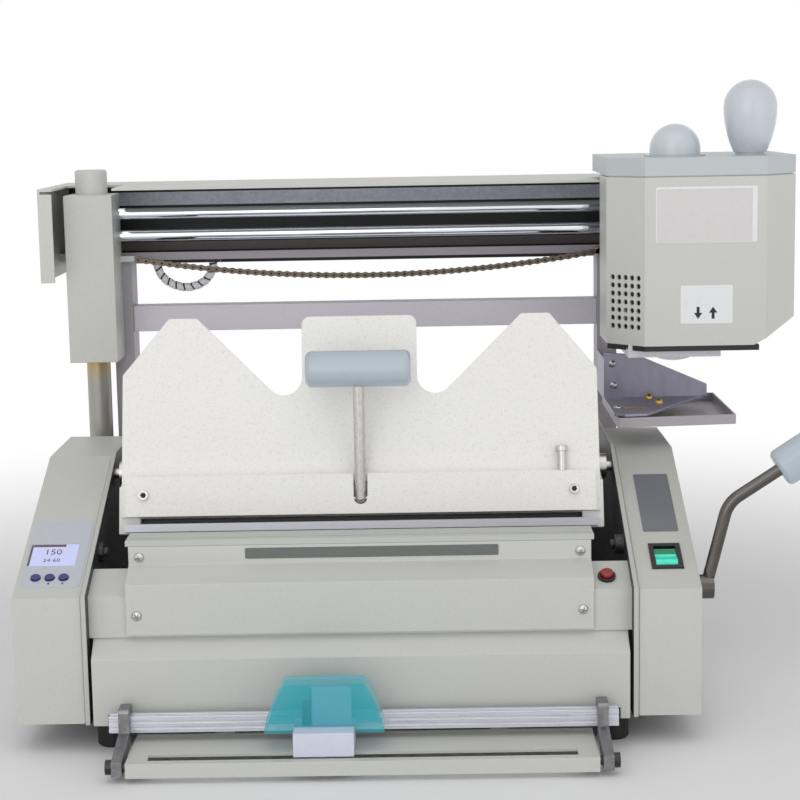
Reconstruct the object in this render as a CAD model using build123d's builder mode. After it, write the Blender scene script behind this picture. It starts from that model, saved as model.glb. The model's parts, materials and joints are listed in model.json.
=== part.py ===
from build123d import *
import math
import os

# Hot melt binding machine, desktop size, A4 books.
# X runs across the machine, -Y faces the operator, Z is up from the desk.
# Places are written from the clamp's middle (X), the object's mid depth (Y) and the desk (Z).

os.makedirs("parts", exist_ok=True)

# Overall reach, which puts the origin at the middle of the footprint
LEFT_END = -251.0
RIGHT_END = 358.0
MIDDLE_X = -(LEFT_END + RIGHT_END) / 2

# Sheet metal and fits
SHEET = 1.5
PLATE = 2.0
GAP = 0.3
RUNNING_FIT = 0.05

# Side frame plates and consoles
PAN_HALF = 186.0
CHEEK_OUT = 189.5
CHEEK_FRONT = -147.0
CHEEK_KNEE = 111.0
CHEEK_TOP = 181.4
CHEEK_BACK = 178.0
FLOOR_Z = 20.0
FOOT_RADIUS = 11.0
FOOT_X = 174.0
FOOT_FRONT = -126.0
FOOT_BACK = 150.0
LEFT_CONSOLE = -237.0
RIGHT_CONSOLE = 233.0
CONSOLE_FRONT = -144.0
CONSOLE_KNEE = 109.0
CONSOLE_CREST = 13.0
CONSOLE_TOP = 178.4
CONSOLE_BACK = 103.0
SLOPE_ANGLE = math.degrees(math.atan2(CONSOLE_TOP - CONSOLE_KNEE, CONSOLE_CREST - CONSOLE_FRONT))

# Book clamp, tilted back from upright
CLAMP_FOOT = (-64.7, 147.0)
CLAMP_LEAN = 17.68
CLAMP_PIVOT = (2.0, 167.0)
STUB_RADIUS = 4.0
CLAMP_HALF = 168.5
HANDLE_PIVOT = (-64.1, 158.8)
GRIP_RADIUS = 13.0
GRIP_LENGTH = 75.0
GRIP_Z = 252.5

# Side lever
LEVER_Y = -123.0
LEVER_Z = 105.0
LEVER_SHAFT_RADIUS = 5.0
LEVER_ELBOW = (253.5, 163.5)
LEVER_GRIP_START = (288.0, 186.0)
LEVER_GRIP_RADIUS = 13.5
LEVER_GRIP_ROUND = 10.0

# Paper trimmer in front
TRIMMER_X = 1.8
TRAY_HALF = 155.5
TRAY_FRONT = -210.0
TRAY_TOP = 14.0
RAIL_HALF = 172.5
ARM_PIVOT = (-204.0, 10.0)
CUTTER_X = -23.6
WHEEL_Y = -198.0
WHEEL_Z = 21.0
WHEEL_RADIUS = 9.0

# Rear beam and guide rods
BEAM_FRONT = 80.0
BEAM_BACK = 210.0
BEAM_TOP = 377.0
BEAM_RIGHT = 325.0
ROD_Y = 128.0
ROD_LOW = 337.0
ROD_HIGH = 354.5
ROD_RADIUS = 4.5
POST_X = -216.5
POST_RADIUS = 9.5
TOWER_LEFT = -235.5
TOWER_RIGHT = -197.1

# Glue pot carriage
POT_LEFT = 185.3
POT_RIGHT = 326.3
POT_BACK = 77.0
POT_BEVEL = 25.7
POT_FLOOR = 256.5
POT_RIM = 381.0
LID_TOP = 395.3
LID_BACK = 136.0
HATCH_X = 237.6
HATCH_Y = 35.0
EGG_X = 294.2
EGG_Y = 38.0
ROLLER_X = 234.5
ROLLER_Z = 280.0
ROLLER_RADIUS = 36.0
ROLLER_SHAFT = 6.0
CHAIN_PITCH = 6.35
SPROCKET_TEETH = 36

# Operator panels
BUTTON_RADIUS = 3.25
BUTTON_XS = (-224.0, -214.3, -204.6)
BUTTON_Y = -123.5
DISPLAY_X = -215.6
DISPLAY_Y = -99.5
DISPLAY_WIDE = 34.0
DISPLAY_TALL = 25.0
ROCKER_X = 212.5
ROCKER_Y = -111.0
BEZEL_WIDE = 22.0
BEZEL_TALL = 28.0
RED_X = 170.0
RED_Y = -126.0


def spot(x, y, z):
    return (MIDDLE_X + x, y, z)


def level(z):
    """A horizontal drawing plane at one height."""
    return Plane(origin=(MIDDLE_X, 0, z))


def slice_at(x):
    """A side-on drawing plane: its first axis is Y and its second is Z."""
    return Plane(origin=(MIDDLE_X + x, 0, 0), x_dir=(0, 1, 0), z_dir=(1, 0, 0))


def front_at(y):
    """A front-on drawing plane: its first axis is X and its second is Z, and it faces forward."""
    return Plane(origin=(MIDDLE_X, y, 0), x_dir=(1, 0, 0), z_dir=(0, -1, 0))


def slope_plane(x, y, lift=0.0):
    """A drawing plane on the consoles' slope, facing outward, its second axis up the slope."""
    z = CONSOLE_KNEE + (y - CONSOLE_FRONT) * math.tan(math.radians(SLOPE_ANGLE))
    across = math.radians(SLOPE_ANGLE)
    normal = Vector(0, -math.sin(across), math.cos(across))
    origin = Vector(*spot(x, y, z)) + normal * lift
    return Plane(origin=origin, x_dir=(1, 0, 0), z_dir=normal)


def clamp_plane(depth=0.0):
    """A drawing plane on the clamp's front face: first axis X, second axis up the tilted face."""
    lean = math.radians(CLAMP_LEAN)
    normal = Vector(0, -math.cos(lean), math.sin(lean))
    origin = Vector(*spot(0, CLAMP_FOOT[0], CLAMP_FOOT[1])) + normal * depth
    return Plane(origin=origin, x_dir=(1, 0, 0), z_dir=normal)


def block(x0, x1, y0, y1, z0, z1, mode=Mode.ADD):
    with Locations(spot((x0 + x1) / 2, (y0 + y1) / 2, (z0 + z1) / 2)):
        Box(abs(x1 - x0), abs(y1 - y0), abs(z1 - z0), mode=mode)


def rod_x(y, z, x0, x1, radius, mode=Mode.ADD):
    with Locations(Location(spot((x0 + x1) / 2, y, z), (0, 90, 0))):
        Cylinder(radius, abs(x1 - x0), mode=mode)


def rod_y(x, z, y0, y1, radius, mode=Mode.ADD):
    with Locations(Location(spot(x, (y0 + y1) / 2, z), (90, 0, 0))):
        Cylinder(radius, abs(y1 - y0), mode=mode)


def rod_z(x, y, z0, z1, radius, mode=Mode.ADD):
    with Locations(spot(x, y, (z0 + z1) / 2)):
        Cylinder(radius, abs(z1 - z0), mode=mode)


def plate(plane, outline, thickness, mode=Mode.ADD):
    """A flat outline on a plane, made as thick as asked towards the plane's front."""
    with BuildSketch(plane) as shape:
        with BuildLine():
            Polyline(*outline, close=True)
        make_face()
    extrude(shape.sketch, amount=thickness, mode=mode)


def folded(line, thickness):
    """Outline of sheet metal folded along a line; the line is one face and the sheet lies to its left."""
    normals = []
    for (x0, y0), (x1, y1) in zip(line, line[1:]):
        length = math.hypot(x1 - x0, y1 - y0)
        normals.append(((y0 - y1) / length, (x1 - x0) / length))
    pairs = zip([normals[0]] + normals, normals + [normals[-1]])
    other_face = []
    for (x, y), (before, after) in zip(line, pairs):
        spread = 1 + before[0] * after[0] + before[1] * after[1]
        shift_x = thickness * (before[0] + after[0]) / spread
        shift_y = thickness * (before[1] + after[1]) / spread
        other_face.append((x + shift_x, y + shift_y))
    return line + other_face[::-1]


def save(builder, name):
    builder.part.label = name
    export_step(builder.part, f"parts/{name}.step")


# Body frame

PAN_FRONT = -130.0
FLANGE = 10.0

with BuildPart() as base_pan:
    block(-PAN_HALF, PAN_HALF, PAN_FRONT, CHEEK_BACK, FLOOR_Z, FLOOR_Z + PLATE)
    block(-PAN_HALF, PAN_HALF, PAN_FRONT, PAN_FRONT + PLATE, FLOOR_Z, FLOOR_Z + FLANGE)
    for side in (-1, 1):
        block(side * (PAN_HALF - PLATE), side * PAN_HALF, PAN_FRONT, CHEEK_BACK, FLOOR_Z, FLOOR_Z + FLANGE)
save(base_pan, "base_pan")

with BuildPart() as feet:
    for foot_x in (-FOOT_X, FOOT_X):
        for foot_y in (FOOT_FRONT, FOOT_BACK):
            rod_z(foot_x, foot_y, 0, FLOOR_Z, FOOT_RADIUS)
    chamfer(feet.faces().group_by(Axis.Z)[0].edges(), length=1.5)
save(feet, "feet")


def cheek_outline():
    return [
        (CHEEK_FRONT, FLOOR_Z),
        (CHEEK_FRONT, CHEEK_KNEE),
        (12.4, CHEEK_TOP),
        (CHEEK_BACK, CHEEK_TOP),
        (CHEEK_BACK, FLOOR_Z),
    ]


def cheek(side, boss_reach):
    """A side frame plate with the clamp's pivot bore and a shaft boss on its inner face."""
    inner = side * PAN_HALF
    outer = side * CHEEK_OUT
    plate(slice_at(inner), cheek_outline(), outer - inner)
    rod_x(-81, 126, side * (PAN_HALF - boss_reach), inner, 7)
    rod_x(-81, 126, side * (PAN_HALF - boss_reach - 3), side * (PAN_HALF - boss_reach), 3.5)
    rod_x(*CLAMP_PIVOT, inner, outer, STUB_RADIUS + RUNNING_FIT, mode=Mode.SUBTRACT)


with BuildPart() as left_cheek:
    cheek(-1, 3)
save(left_cheek, "left_cheek")

with BuildPart() as right_cheek:
    cheek(1, 6)
    rod_x(LEVER_Y, LEVER_Z, PAN_HALF, CHEEK_OUT, LEVER_SHAFT_RADIUS + RUNNING_FIT, mode=Mode.SUBTRACT)
save(right_cheek, "right_cheek")

LIP_WIDE = 1.0
LIP_STEP = 0.8


def console_profile(x, inset):
    """A console's side outline, drawn inwards by the inset."""
    with BuildSketch(slice_at(x)) as shape:
        with BuildLine():
            Polyline(
                (CONSOLE_FRONT, FLOOR_Z),
                (CONSOLE_FRONT, CONSOLE_KNEE),
                (CONSOLE_CREST, CONSOLE_TOP),
                (CONSOLE_BACK - 2, CONSOLE_TOP),
                (CONSOLE_BACK, CONSOLE_TOP - 2),
                (CONSOLE_BACK, FLOOR_Z),
                close=True,
            )
        make_face()
        if inset > 0:
            offset(amount=-inset, kind=Kind.INTERSECTION)
    return shape.sketch


def console_shell(outer):
    """A console's sheet cover, open below and towards the side plate, with a shadow lip beside it."""
    side = math.copysign(1, outer)
    inner = side * CHEEK_OUT
    lip = inner + side * LIP_WIDE
    inside = outer - side * SHEET
    extrude(console_profile(lip, 0), amount=outer - lip)
    extrude(console_profile(lip, SHEET), amount=inside - lip, mode=Mode.SUBTRACT)
    extrude(console_profile(inner, LIP_STEP), amount=lip - inner)
    extrude(console_profile(inner, LIP_STEP + SHEET), amount=lip - inner, mode=Mode.SUBTRACT)
    wall = LIP_STEP + SHEET
    block(inner, inside, CONSOLE_FRONT + wall, CONSOLE_BACK - wall, FLOOR_Z, FLOOR_Z + wall, mode=Mode.SUBTRACT)


def slope_window(x, y, wide, tall):
    with BuildSketch(slope_plane(x, y)) as window:
        Rectangle(wide, tall)
    extrude(window.sketch, amount=4, both=True, mode=Mode.SUBTRACT)


def slope_disc(x, y, radius, low, high, mode=Mode.ADD):
    """A round piece standing square to the consoles' slope, between two heights off it."""
    with BuildSketch(slope_plane(x, y, low)) as disc:
        Circle(radius)
    extrude(disc.sketch, amount=high - low, mode=mode)


def slope_block(x, y, wide, tall, low, high, mode=Mode.ADD):
    with BuildSketch(slope_plane(x, y, low)) as box:
        Rectangle(wide, tall)
    extrude(box.sketch, amount=high - low, mode=mode)


with BuildPart() as left_console_cover:
    console_shell(LEFT_CONSOLE)
    slope_window(DISPLAY_X, DISPLAY_Y, DISPLAY_WIDE, DISPLAY_TALL)
    for button_x in BUTTON_XS:
        slope_disc(button_x, BUTTON_Y, BUTTON_RADIUS + GAP, -4, 4, mode=Mode.SUBTRACT)
save(left_console_cover, "left_console_cover")

with BuildPart() as right_console_cover:
    console_shell(RIGHT_CONSOLE)
    slope_window(ROCKER_X, ROCKER_Y, BEZEL_WIDE - 3.2, BEZEL_TALL - 3.2)
    rod_x(LEVER_Y, LEVER_Z, RIGHT_CONSOLE - 2 * SHEET, RIGHT_CONSOLE + 1, LEVER_SHAFT_RADIUS + GAP, mode=Mode.SUBTRACT)
save(right_console_cover, "right_console_cover")

PANEL_TOP = (-134.0, 81.0)
PANEL_FACE = -150.0
PANEL_HALF = PAN_HALF - 2.4

with BuildPart() as lower_front_panel:
    panel_line = [PANEL_TOP, (PANEL_FACE, 66.7), (PANEL_FACE, 27.7), (PAN_FRONT, 27.7)]
    plate(slice_at(-PANEL_HALF), folded(panel_line, SHEET), 2 * PANEL_HALF)
    for side in (-1, 1):
        rail_end = TRIMMER_X + side * (RAIL_HALF + 2.5)
        block(rail_end, side * PANEL_HALF, PANEL_FACE, PANEL_FACE + SHEET, FLOOR_Z, 29)
save(lower_front_panel, "lower_front_panel")

COVER_FACE = -138.0
COVER_KNEE = 108.0
COVER_BACK = (-109.0, 120.7)
COVER_ANGLE = math.atan2(COVER_BACK[1] - COVER_KNEE, COVER_BACK[0] - COVER_FACE)


def cover_plane(x, y, lift):
    """A drawing plane on the front cover's slant, facing outward."""
    normal = Vector(0, -math.sin(COVER_ANGLE), math.cos(COVER_ANGLE))
    z = COVER_KNEE + (y - COVER_FACE) * math.tan(COVER_ANGLE)
    return Plane(origin=Vector(*spot(x, y, z)) + normal * lift, x_dir=(1, 0, 0), z_dir=normal)


with BuildPart() as front_cover:
    cover_line = [(COVER_FACE, 79.2), (COVER_FACE, COVER_KNEE), COVER_BACK, (COVER_BACK[0], 110)]
    plate(slice_at(-PAN_HALF), folded(cover_line[::-1], SHEET), 2 * PAN_HALF)
    with BuildSketch(cover_plane(RED_X, RED_Y, -4)) as red_hole:
        Circle(4.8)
    extrude(red_hole.sketch, amount=8, mode=Mode.SUBTRACT)
save(front_cover, "front_cover")

CENTRE_HALF = 160.0
SHELF = 138.6

with BuildPart() as centre_cover:
    outer_line = [
        (-141, 81),
        (-141, 116.8),
        (-120, 125.7),
        (-120, SHELF),
        (-102, SHELF),
        (-102, 124),
        (-109, 120.9),
        (-138, 108.2),
        (-138, 81),
    ]
    inner_line = [
        (-139.5, 80),
        (-139.5, 115.8),
        (-118.5, 124.7),
        (-118.5, SHELF - SHEET),
        (-103.5, SHELF - SHEET),
        (-103.5, 122),
        (-109, 119),
        (-137, 107),
        (-137, 80),
    ]
    plate(slice_at(-CENTRE_HALF), outer_line, 2 * CENTRE_HALF)
    plate(slice_at(SHEET - CENTRE_HALF), inner_line, 2 * (CENTRE_HALF - SHEET), mode=Mode.SUBTRACT)
save(centre_cover, "centre_cover")

with BuildPart() as clamp_table:
    block(-162, 162, -120, -94, SHELF, SHELF + 4)
    block(-162, 162, -113, -110, SHELF + 2.5, SHELF + 4, mode=Mode.SUBTRACT)
save(clamp_table, "clamp_table")

REAR_FACE = 174.0
INLET_X = 130.0
INLET_Z = 60.0
JAW_ROD_X = 120.0
JAW_ROD_Z = 130.0
JAW_ROD_RADIUS = 4.0

with BuildPart() as rear_panel:
    block(-PAN_HALF, PAN_HALF, REAR_FACE, REAR_FACE + PLATE, FLOOR_Z + PLATE, 150)
    for side in (-1, 1):
        block(side * (PAN_HALF - PLATE), side * PAN_HALF, REAR_FACE, REAR_FACE + PLATE, FLOOR_Z, FLOOR_Z + FLANGE,
              mode=Mode.SUBTRACT)
        rod_y(side * JAW_ROD_X, JAW_ROD_Z, REAR_FACE - 1, REAR_FACE + 3, JAW_ROD_RADIUS + RUNNING_FIT,
              mode=Mode.SUBTRACT)
    block(INLET_X - 13.6, INLET_X + 13.6, REAR_FACE - 1, REAR_FACE + 3, INLET_Z - 9.9, INLET_Z + 9.9,
          mode=Mode.SUBTRACT)
save(rear_panel, "rear_panel")

with BuildPart() as mains_inlet:
    inlet_back = REAR_FACE + PLATE
    block(INLET_X - 15, INLET_X + 15, inlet_back, inlet_back + 2, INLET_Z - 11.5, INLET_Z + 11.5)
    block(INLET_X - 13.5, INLET_X + 13.5, inlet_back - 15, inlet_back, INLET_Z - 9.75, INLET_Z + 9.75)
    block(INLET_X - 12, INLET_X + 12, inlet_back - 12, inlet_back + 2, INLET_Z - 8.25, INLET_Z + 8.25,
          mode=Mode.SUBTRACT)
    for blade_x, blade_z in ((-7, -2), (0, 2), (7, -2)):
        block(INLET_X + blade_x - 1, INLET_X + blade_x + 1, inlet_back - 13, inlet_back - 3,
              INLET_Z + blade_z - 2, INLET_Z + blade_z + 2)
save(mains_inlet, "mains_inlet")

UPRIGHT_FRONT = 145.0
UPRIGHT_BACK = 175.0
UPRIGHT_WIDE = 16.0
UPRIGHT_WALL = 2.5
BEAM_FLOOR = 315.0

with BuildPart() as uprights:
    for side in (-1, 1):
        inner = side * CHEEK_OUT
        outer = side * (CHEEK_OUT + UPRIGHT_WIDE)
        block(inner, outer, UPRIGHT_FRONT, UPRIGHT_BACK, FLOOR_Z, BEAM_FLOOR)
        block(inner + side * UPRIGHT_WALL, outer - side * UPRIGHT_WALL, UPRIGHT_FRONT + UPRIGHT_WALL, UPRIGHT_BACK,
              FLOOR_Z, BEAM_FLOOR, mode=Mode.SUBTRACT)
save(uprights, "uprights")

with BuildPart() as cross_bar:
    block(-CHEEK_OUT, CHEEK_OUT, 148, 151, 257, 278)
    block(-CHEEK_OUT, CHEEK_OUT, 148, 166, 275, 278)
save(cross_bar, "cross_bar")

with BuildPart() as beam_shell:
    block(LEFT_END + PLATE, BEAM_RIGHT, BEAM_FRONT, BEAM_BACK, BEAM_TOP - PLATE, BEAM_TOP)
    block(-239.5, -193, BEAM_FRONT - 1, 147, BEAM_TOP - PLATE, BEAM_TOP, mode=Mode.SUBTRACT)
    block(LEFT_END, LEFT_END + PLATE, BEAM_FRONT, BEAM_BACK, 304, BEAM_TOP)
    block(LEFT_END, LEFT_END + 11, BEAM_FRONT, BEAM_FRONT + PLATE, 304, 373)
    block(BEAM_RIGHT - PLATE, BEAM_RIGHT, BEAM_FRONT, BEAM_BACK, 308, BEAM_TOP)
save(beam_shell, "beam_shell")

with BuildPart() as beam_back:
    block(LEFT_END + PLATE, BEAM_RIGHT - PLATE, BEAM_BACK - PLATE, BEAM_BACK, 308, BEAM_TOP - PLATE)
save(beam_back, "beam_back")

with BuildPart() as beam_floor:
    block(LEFT_END + PLATE, BEAM_RIGHT - PLATE, 153, BEAM_BACK - PLATE, BEAM_FLOOR, BEAM_FLOOR + PLATE)
    block(LEFT_END + PLATE, BEAM_RIGHT - PLATE, 153, 155, BEAM_FLOOR, BEAM_FLOOR + 6.3)
    block(188, 196, 137, 155, BEAM_FLOOR, BEAM_FLOOR + 5)
save(beam_floor, "beam_floor")

with BuildPart() as guide_rods:
    for rod_z_place in (ROD_LOW, ROD_HIGH):
        rod_x(ROD_Y, rod_z_place, TOWER_RIGHT, BEAM_RIGHT - PLATE, ROD_RADIUS)
save(guide_rods, "guide_rods")

TOWER_FRONT = 105.0
TOWER_BACK = 144.7
TOWER_LOW = 237.5
TOWER_TOP = 370.5

with BuildPart() as tower_box:
    block(TOWER_LEFT, TOWER_RIGHT, TOWER_FRONT, TOWER_BACK, TOWER_LOW, TOWER_TOP)
    block(TOWER_LEFT + PLATE, TOWER_RIGHT - PLATE, TOWER_FRONT + PLATE, TOWER_BACK - PLATE, TOWER_LOW - 1,
          TOWER_TOP - PLATE, mode=Mode.SUBTRACT)
    rod_z(POST_X, ROD_Y, TOWER_TOP, 390, 12.75)
    block(TOWER_RIGHT, TOWER_RIGHT + 11.6, 137, 141, BEAM_FLOOR, BEAM_FLOOR + 5)
    fillet(tower_box.faces().sort_by(Axis.Z)[-1].edges(), radius=2)
save(tower_box, "tower_box")

with BuildPart() as tower_post:
    rod_z(POST_X, ROD_Y, 60, TOWER_TOP - PLATE, POST_RADIUS)
    block(-236, -CHEEK_OUT, 112, 144, 60, 80)
save(tower_post, "tower_post")

DRIP_LEFT = 191.0
DRIP_RIGHT = 281.0
DRIP_LOW = 195.5
DRIP_RIM = 203.0

with BuildPart() as drip_tray:
    rim_line = [(DRIP_LEFT, 0), (DRIP_RIGHT, 10), (DRIP_RIGHT, 119), (DRIP_LEFT, 119)]
    well_line = [
        (DRIP_LEFT + SHEET, SHEET),
        (DRIP_RIGHT - SHEET, 10 + SHEET),
        (DRIP_RIGHT - SHEET, 119 - SHEET),
        (DRIP_LEFT + SHEET, 119 - SHEET),
    ]
    plate(level(DRIP_LOW), rim_line, DRIP_RIM - DRIP_LOW)
    plate(level(DRIP_LOW + SHEET), well_line, DRIP_RIM - DRIP_LOW, mode=Mode.SUBTRACT)
save(drip_tray, "drip_tray")

with BuildPart() as drip_bracket:
    wing_low = DRIP_RIM + 2
    wing = [(CHEEK_OUT, 241), (215, 239), (270.8, 214.7), (270.8, wing_low), (CHEEK_OUT, wing_low)]
    plate(front_at(90), wing, 2)
    tongue = [(CHEEK_OUT, 90), (268, 90), (262, 84), (214, 6), (197, 4), (CHEEK_OUT, 10)]
    plate(level(DRIP_RIM), tongue, 2)
    block(CHEEK_OUT, DRIP_LEFT, 88, UPRIGHT_FRONT, DRIP_RIM, 236)
save(drip_bracket, "drip_bracket")


def pan_head(x, y, z, radius, tall):
    """A screw head on a face that looks forward."""
    rod_y(x, z, y - tall, y, radius)


with BuildPart() as screws:
    for side in (-1, 1):
        pan_head(side * 152.5, -120, 131, 3.5, 3)
        pan_head(side * 152.5, -141, 95, 3.5, 3)
    for screw_x, screw_z in ((196, 232), (197, 214.7)):
        pan_head(screw_x, 88, screw_z, 3, 2)
    for head in screws.faces().filter_by(Plane.XZ).group_by(Axis.Y)[0:1]:
        chamfer(head.edges(), length=0.8)
save(screws, "screws")

with BuildPart() as display:
    slope_block(DISPLAY_X, DISPLAY_Y, DISPLAY_WIDE - 0.3, DISPLAY_TALL - 0.3, -SHEET, 0.2)
    slope_block(DISPLAY_X, DISPLAY_Y, DISPLAY_WIDE + 4, DISPLAY_TALL + 4, -4.5, -SHEET)
save(display, "display")

with BuildPart() as control_board:
    slope_block(-214, -107, 40, 58, -10, -8.4)
    for post_x in (-230, -198):
        for post_y in (-83, -131):
            slope_disc(post_x, post_y, 2, -8.4, -SHEET)
save(control_board, "control_board")

ROCKER_WIDE = 15.0
ROCKER_SWEEP = 10.3
ROCKER_DEPTH = -5.5
ROCKER_PIN = 1.5

rocker_origin = slope_plane(ROCKER_X, ROCKER_Y).origin
up_slope = Vector(0, math.cos(math.radians(SLOPE_ANGLE)), math.sin(math.radians(SLOPE_ANGLE)))


def rocker_slice(shift):
    """A drawing plane across the rocker: first axis up the slope, second axis out of it."""
    return Plane(origin=rocker_origin + Vector(shift, 0, 0), x_dir=up_slope, z_dir=(1, 0, 0))


def rocker_round(half, radius, mode=Mode.ADD):
    """A round bar along X through the rocker's pivot."""
    with BuildSketch(rocker_slice(-half)) as bar:
        with Locations((0, ROCKER_DEPTH)):
            Circle(radius)
    extrude(bar.sketch, amount=2 * half, mode=mode)


with BuildPart() as rocker_bezel:
    slope_block(ROCKER_X, ROCKER_Y, BEZEL_WIDE, BEZEL_TALL, 0, 1.2)
    slope_block(ROCKER_X, ROCKER_Y, BEZEL_WIDE - 3.4, BEZEL_TALL - 3.4, -13.5, 0)
    slope_block(ROCKER_X, ROCKER_Y, ROCKER_WIDE + 0.4, 2 * ROCKER_SWEEP + 0.8, -12.5, 2, mode=Mode.SUBTRACT)
    rocker_round(9.3, ROCKER_PIN + RUNNING_FIT, mode=Mode.SUBTRACT)
save(rocker_bezel, "rocker_bezel")

CHAIN_Y = 139.0
CHAIN_THICK = 4.0
CHAIN_DEEP = 6.0
CHAIN_SAG = 16.0
CHAIN_Z = BEAM_FLOOR + 2.0

with BuildPart() as chain:
    with BuildSketch(front_at(CHAIN_Y + CHAIN_THICK / 2)) as chain_side:
        with BuildLine():
            left_tab = TOWER_RIGHT + 11.6
            high = CHAIN_Z + CHAIN_DEEP / 2
            low = CHAIN_Z - CHAIN_DEEP / 2
            ThreePointArc((left_tab, high), (0, high - CHAIN_SAG), (188, high))
            Line((188, high), (188, low))
            ThreePointArc((188, low), (0, low - CHAIN_SAG), (left_tab, low))
            Line((left_tab, low), (left_tab, high))
        make_face()
    extrude(amount=CHAIN_THICK)
save(chain, "chain")

LEAD_RADIUS = 3.5
LEAD_Y = 170.0
LEAD_ROUTE = ((-172, BEAM_FLOOR), (-172, 300), (-148, 288), (-125, 299), (-125, BEAM_FLOOR))


def corner_radii(points, cap):
    """The largest arcs that a route's runs leave room for."""
    radii = []
    for before, corner, after in zip(points, points[1:], points[2:]):
        run_in = Vector(*corner) - Vector(*before)
        run_out = Vector(*after) - Vector(*corner)
        turn = math.radians(run_in.get_angle(run_out))
        radii.append(min(cap, 0.45 * min(run_in.length, run_out.length) / math.tan(turn / 2)))
    return radii


with BuildPart() as wrapped_lead:
    lead_radii = corner_radii(LEAD_ROUTE, 25)
    with BuildLine(front_at(LEAD_Y)) as lead_way:
        FilletPolyline(*LEAD_ROUTE, radius=lead_radii)
    with BuildSketch(Plane(origin=lead_way.line @ 0, z_dir=lead_way.line % 0)):
        Circle(LEAD_RADIUS)
    sweep(path=lead_way.line)
save(wrapped_lead, "wrapped_lead")
lead_length = lead_way.wires()[0].length
print("lead radii", [round(r, 1) for r in lead_radii], "length", round(lead_length, 1))
print("lead volume", round(wrapped_lead.part.volume), "section times length",
      round(math.pi * LEAD_RADIUS ** 2 * lead_length))


# Book clamp

CLAMP_SHEET = 3.0
BAR_THICK = 7.0
BAR_TALL = 28.8
W_HALF = 172.3


def clamp_block(x0, x1, s0, s1, n0, n1, mode=Mode.ADD):
    """A box laid on the tilted clamp: across, up the face and off the face."""
    with BuildSketch(clamp_plane(n0)) as box:
        with Locations(((x0 + x1) / 2, (s0 + s1) / 2)):
            Rectangle(abs(x1 - x0), abs(s1 - s0))
    extrude(box.sketch, amount=n1 - n0, mode=mode)


with BuildPart() as clamp_plate:
    with BuildSketch(clamp_plane(-CLAMP_SHEET)) as w_shape:
        half = [(W_HALF, 0), (W_HALF, 103.9), (138.8, 145.4), (118.4, 145.4), (41.8, 68.7), (41.8, 145.4)]
        with BuildLine():
            Polyline(*half, *[(-x, s) for x, s in half[::-1]], close=True)
        make_face()
        valleys = [corner for corner in w_shape.vertices() if 60 < corner.Y < 80]
        fillet(valleys, radius=13.2)
        tab_corners = [corner for corner in w_shape.vertices() if corner.Y > 140 and abs(corner.X) < 60]
        fillet(tab_corners, radius=6)
        shoulders = [corner for corner in w_shape.vertices() if corner.Y > 100 and abs(corner.X) > 118]
        fillet(shoulders, radius=3)
        with Locations((0, 15.2)):
            Rectangle(10, 17.6, mode=Mode.SUBTRACT)
    extrude(amount=CLAMP_SHEET)
save(clamp_plate, "clamp_plate")

with BuildPart() as clamp_bar:
    clamp_block(-CLAMP_HALF, CLAMP_HALF, 0, BAR_TALL, 0, BAR_THICK)
    with BuildSketch(clamp_plane(-1)) as bar_slot:
        with Locations((0, 21.8)):
            SlotOverall(30, 10, rotation=90)
    extrude(bar_slot.sketch, amount=BAR_THICK + 2, mode=Mode.SUBTRACT)
    handle_pin = Location(spot(0, *HANDLE_PIVOT), (0, 90, 0))
    with Locations(handle_pin):
        Cylinder(1.5 + RUNNING_FIT, 20, mode=Mode.SUBTRACT)
save(clamp_bar, "clamp_bar")

CARRIER_HALF = 174.5
GAP_HALF = 159.0
JAW_HALF = 170.0

with BuildPart() as clamp_carrier:
    clamp_block(-CARRIER_HALF, CARRIER_HALF, -11.5, 23, -11, -CLAMP_SHEET)
    clamp_block(-GAP_HALF, GAP_HALF, -4, 0, -7, -CLAMP_SHEET, mode=Mode.SUBTRACT)
    for side in (-1, 1):
        arm_near = side * (CARRIER_HALF - 4)
        with BuildSketch(slice_at(arm_near)) as arm:
            with BuildLine():
                Polyline((-58, 137.5), (-53, 166), (2, 179), (2, 155), close=True)
            make_face()
            with Locations(CLAMP_PIVOT):
                Circle(12)
        extrude(arm.sketch, amount=side * 4)
save(clamp_carrier, "clamp_carrier")

with BuildPart() as jaw_strip:
    clamp_block(-JAW_HALF, JAW_HALF, -10.5, -5, -CLAMP_SHEET, 2)
save(jaw_strip, "jaw_strip")

with BuildPart() as pivot_discs:
    for side in (-1, 1):
        rod_x(*CLAMP_PIVOT, side * CARRIER_HALF, side * 182, 9.3)
        rod_x(*CLAMP_PIVOT, side * 182, side * CHEEK_OUT, STUB_RADIUS)
save(pivot_discs, "pivot_discs")

with BuildPart() as side_pin:
    clamp_up = Vector(0, math.sin(math.radians(CLAMP_LEAN)), math.cos(math.radians(CLAMP_LEAN)))
    pin_foot = clamp_plane(4.6).origin + Vector(144.8, 0, 0) + clamp_up * BAR_TALL
    with BuildSketch(Plane(origin=pin_foot, x_dir=(1, 0, 0), z_dir=clamp_up)) as pin_stem:
        Circle(3)
    extrude(pin_stem.sketch, amount=14)
    with BuildSketch(Plane(origin=pin_foot + clamp_up * 14, x_dir=(1, 0, 0), z_dir=clamp_up)) as pin_head:
        Circle(4.4)
    extrude(pin_head.sketch, amount=4)
    fillet(side_pin.faces().sort_by(Axis.Z)[-1].edges(), radius=1)
save(side_pin, "side_pin")

with BuildPart() as handle_rod:
    handle_y, handle_z = HANDLE_PIVOT
    rod_z(0, handle_y, handle_z, GRIP_Z - GRIP_RADIUS + 1, 4)
    with Locations(spot(0, handle_y, handle_z)):
        Sphere(4)
    rod_x(handle_y, handle_z, -9.5, 9.5, 1.5)
save(handle_rod, "handle_rod")

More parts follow.
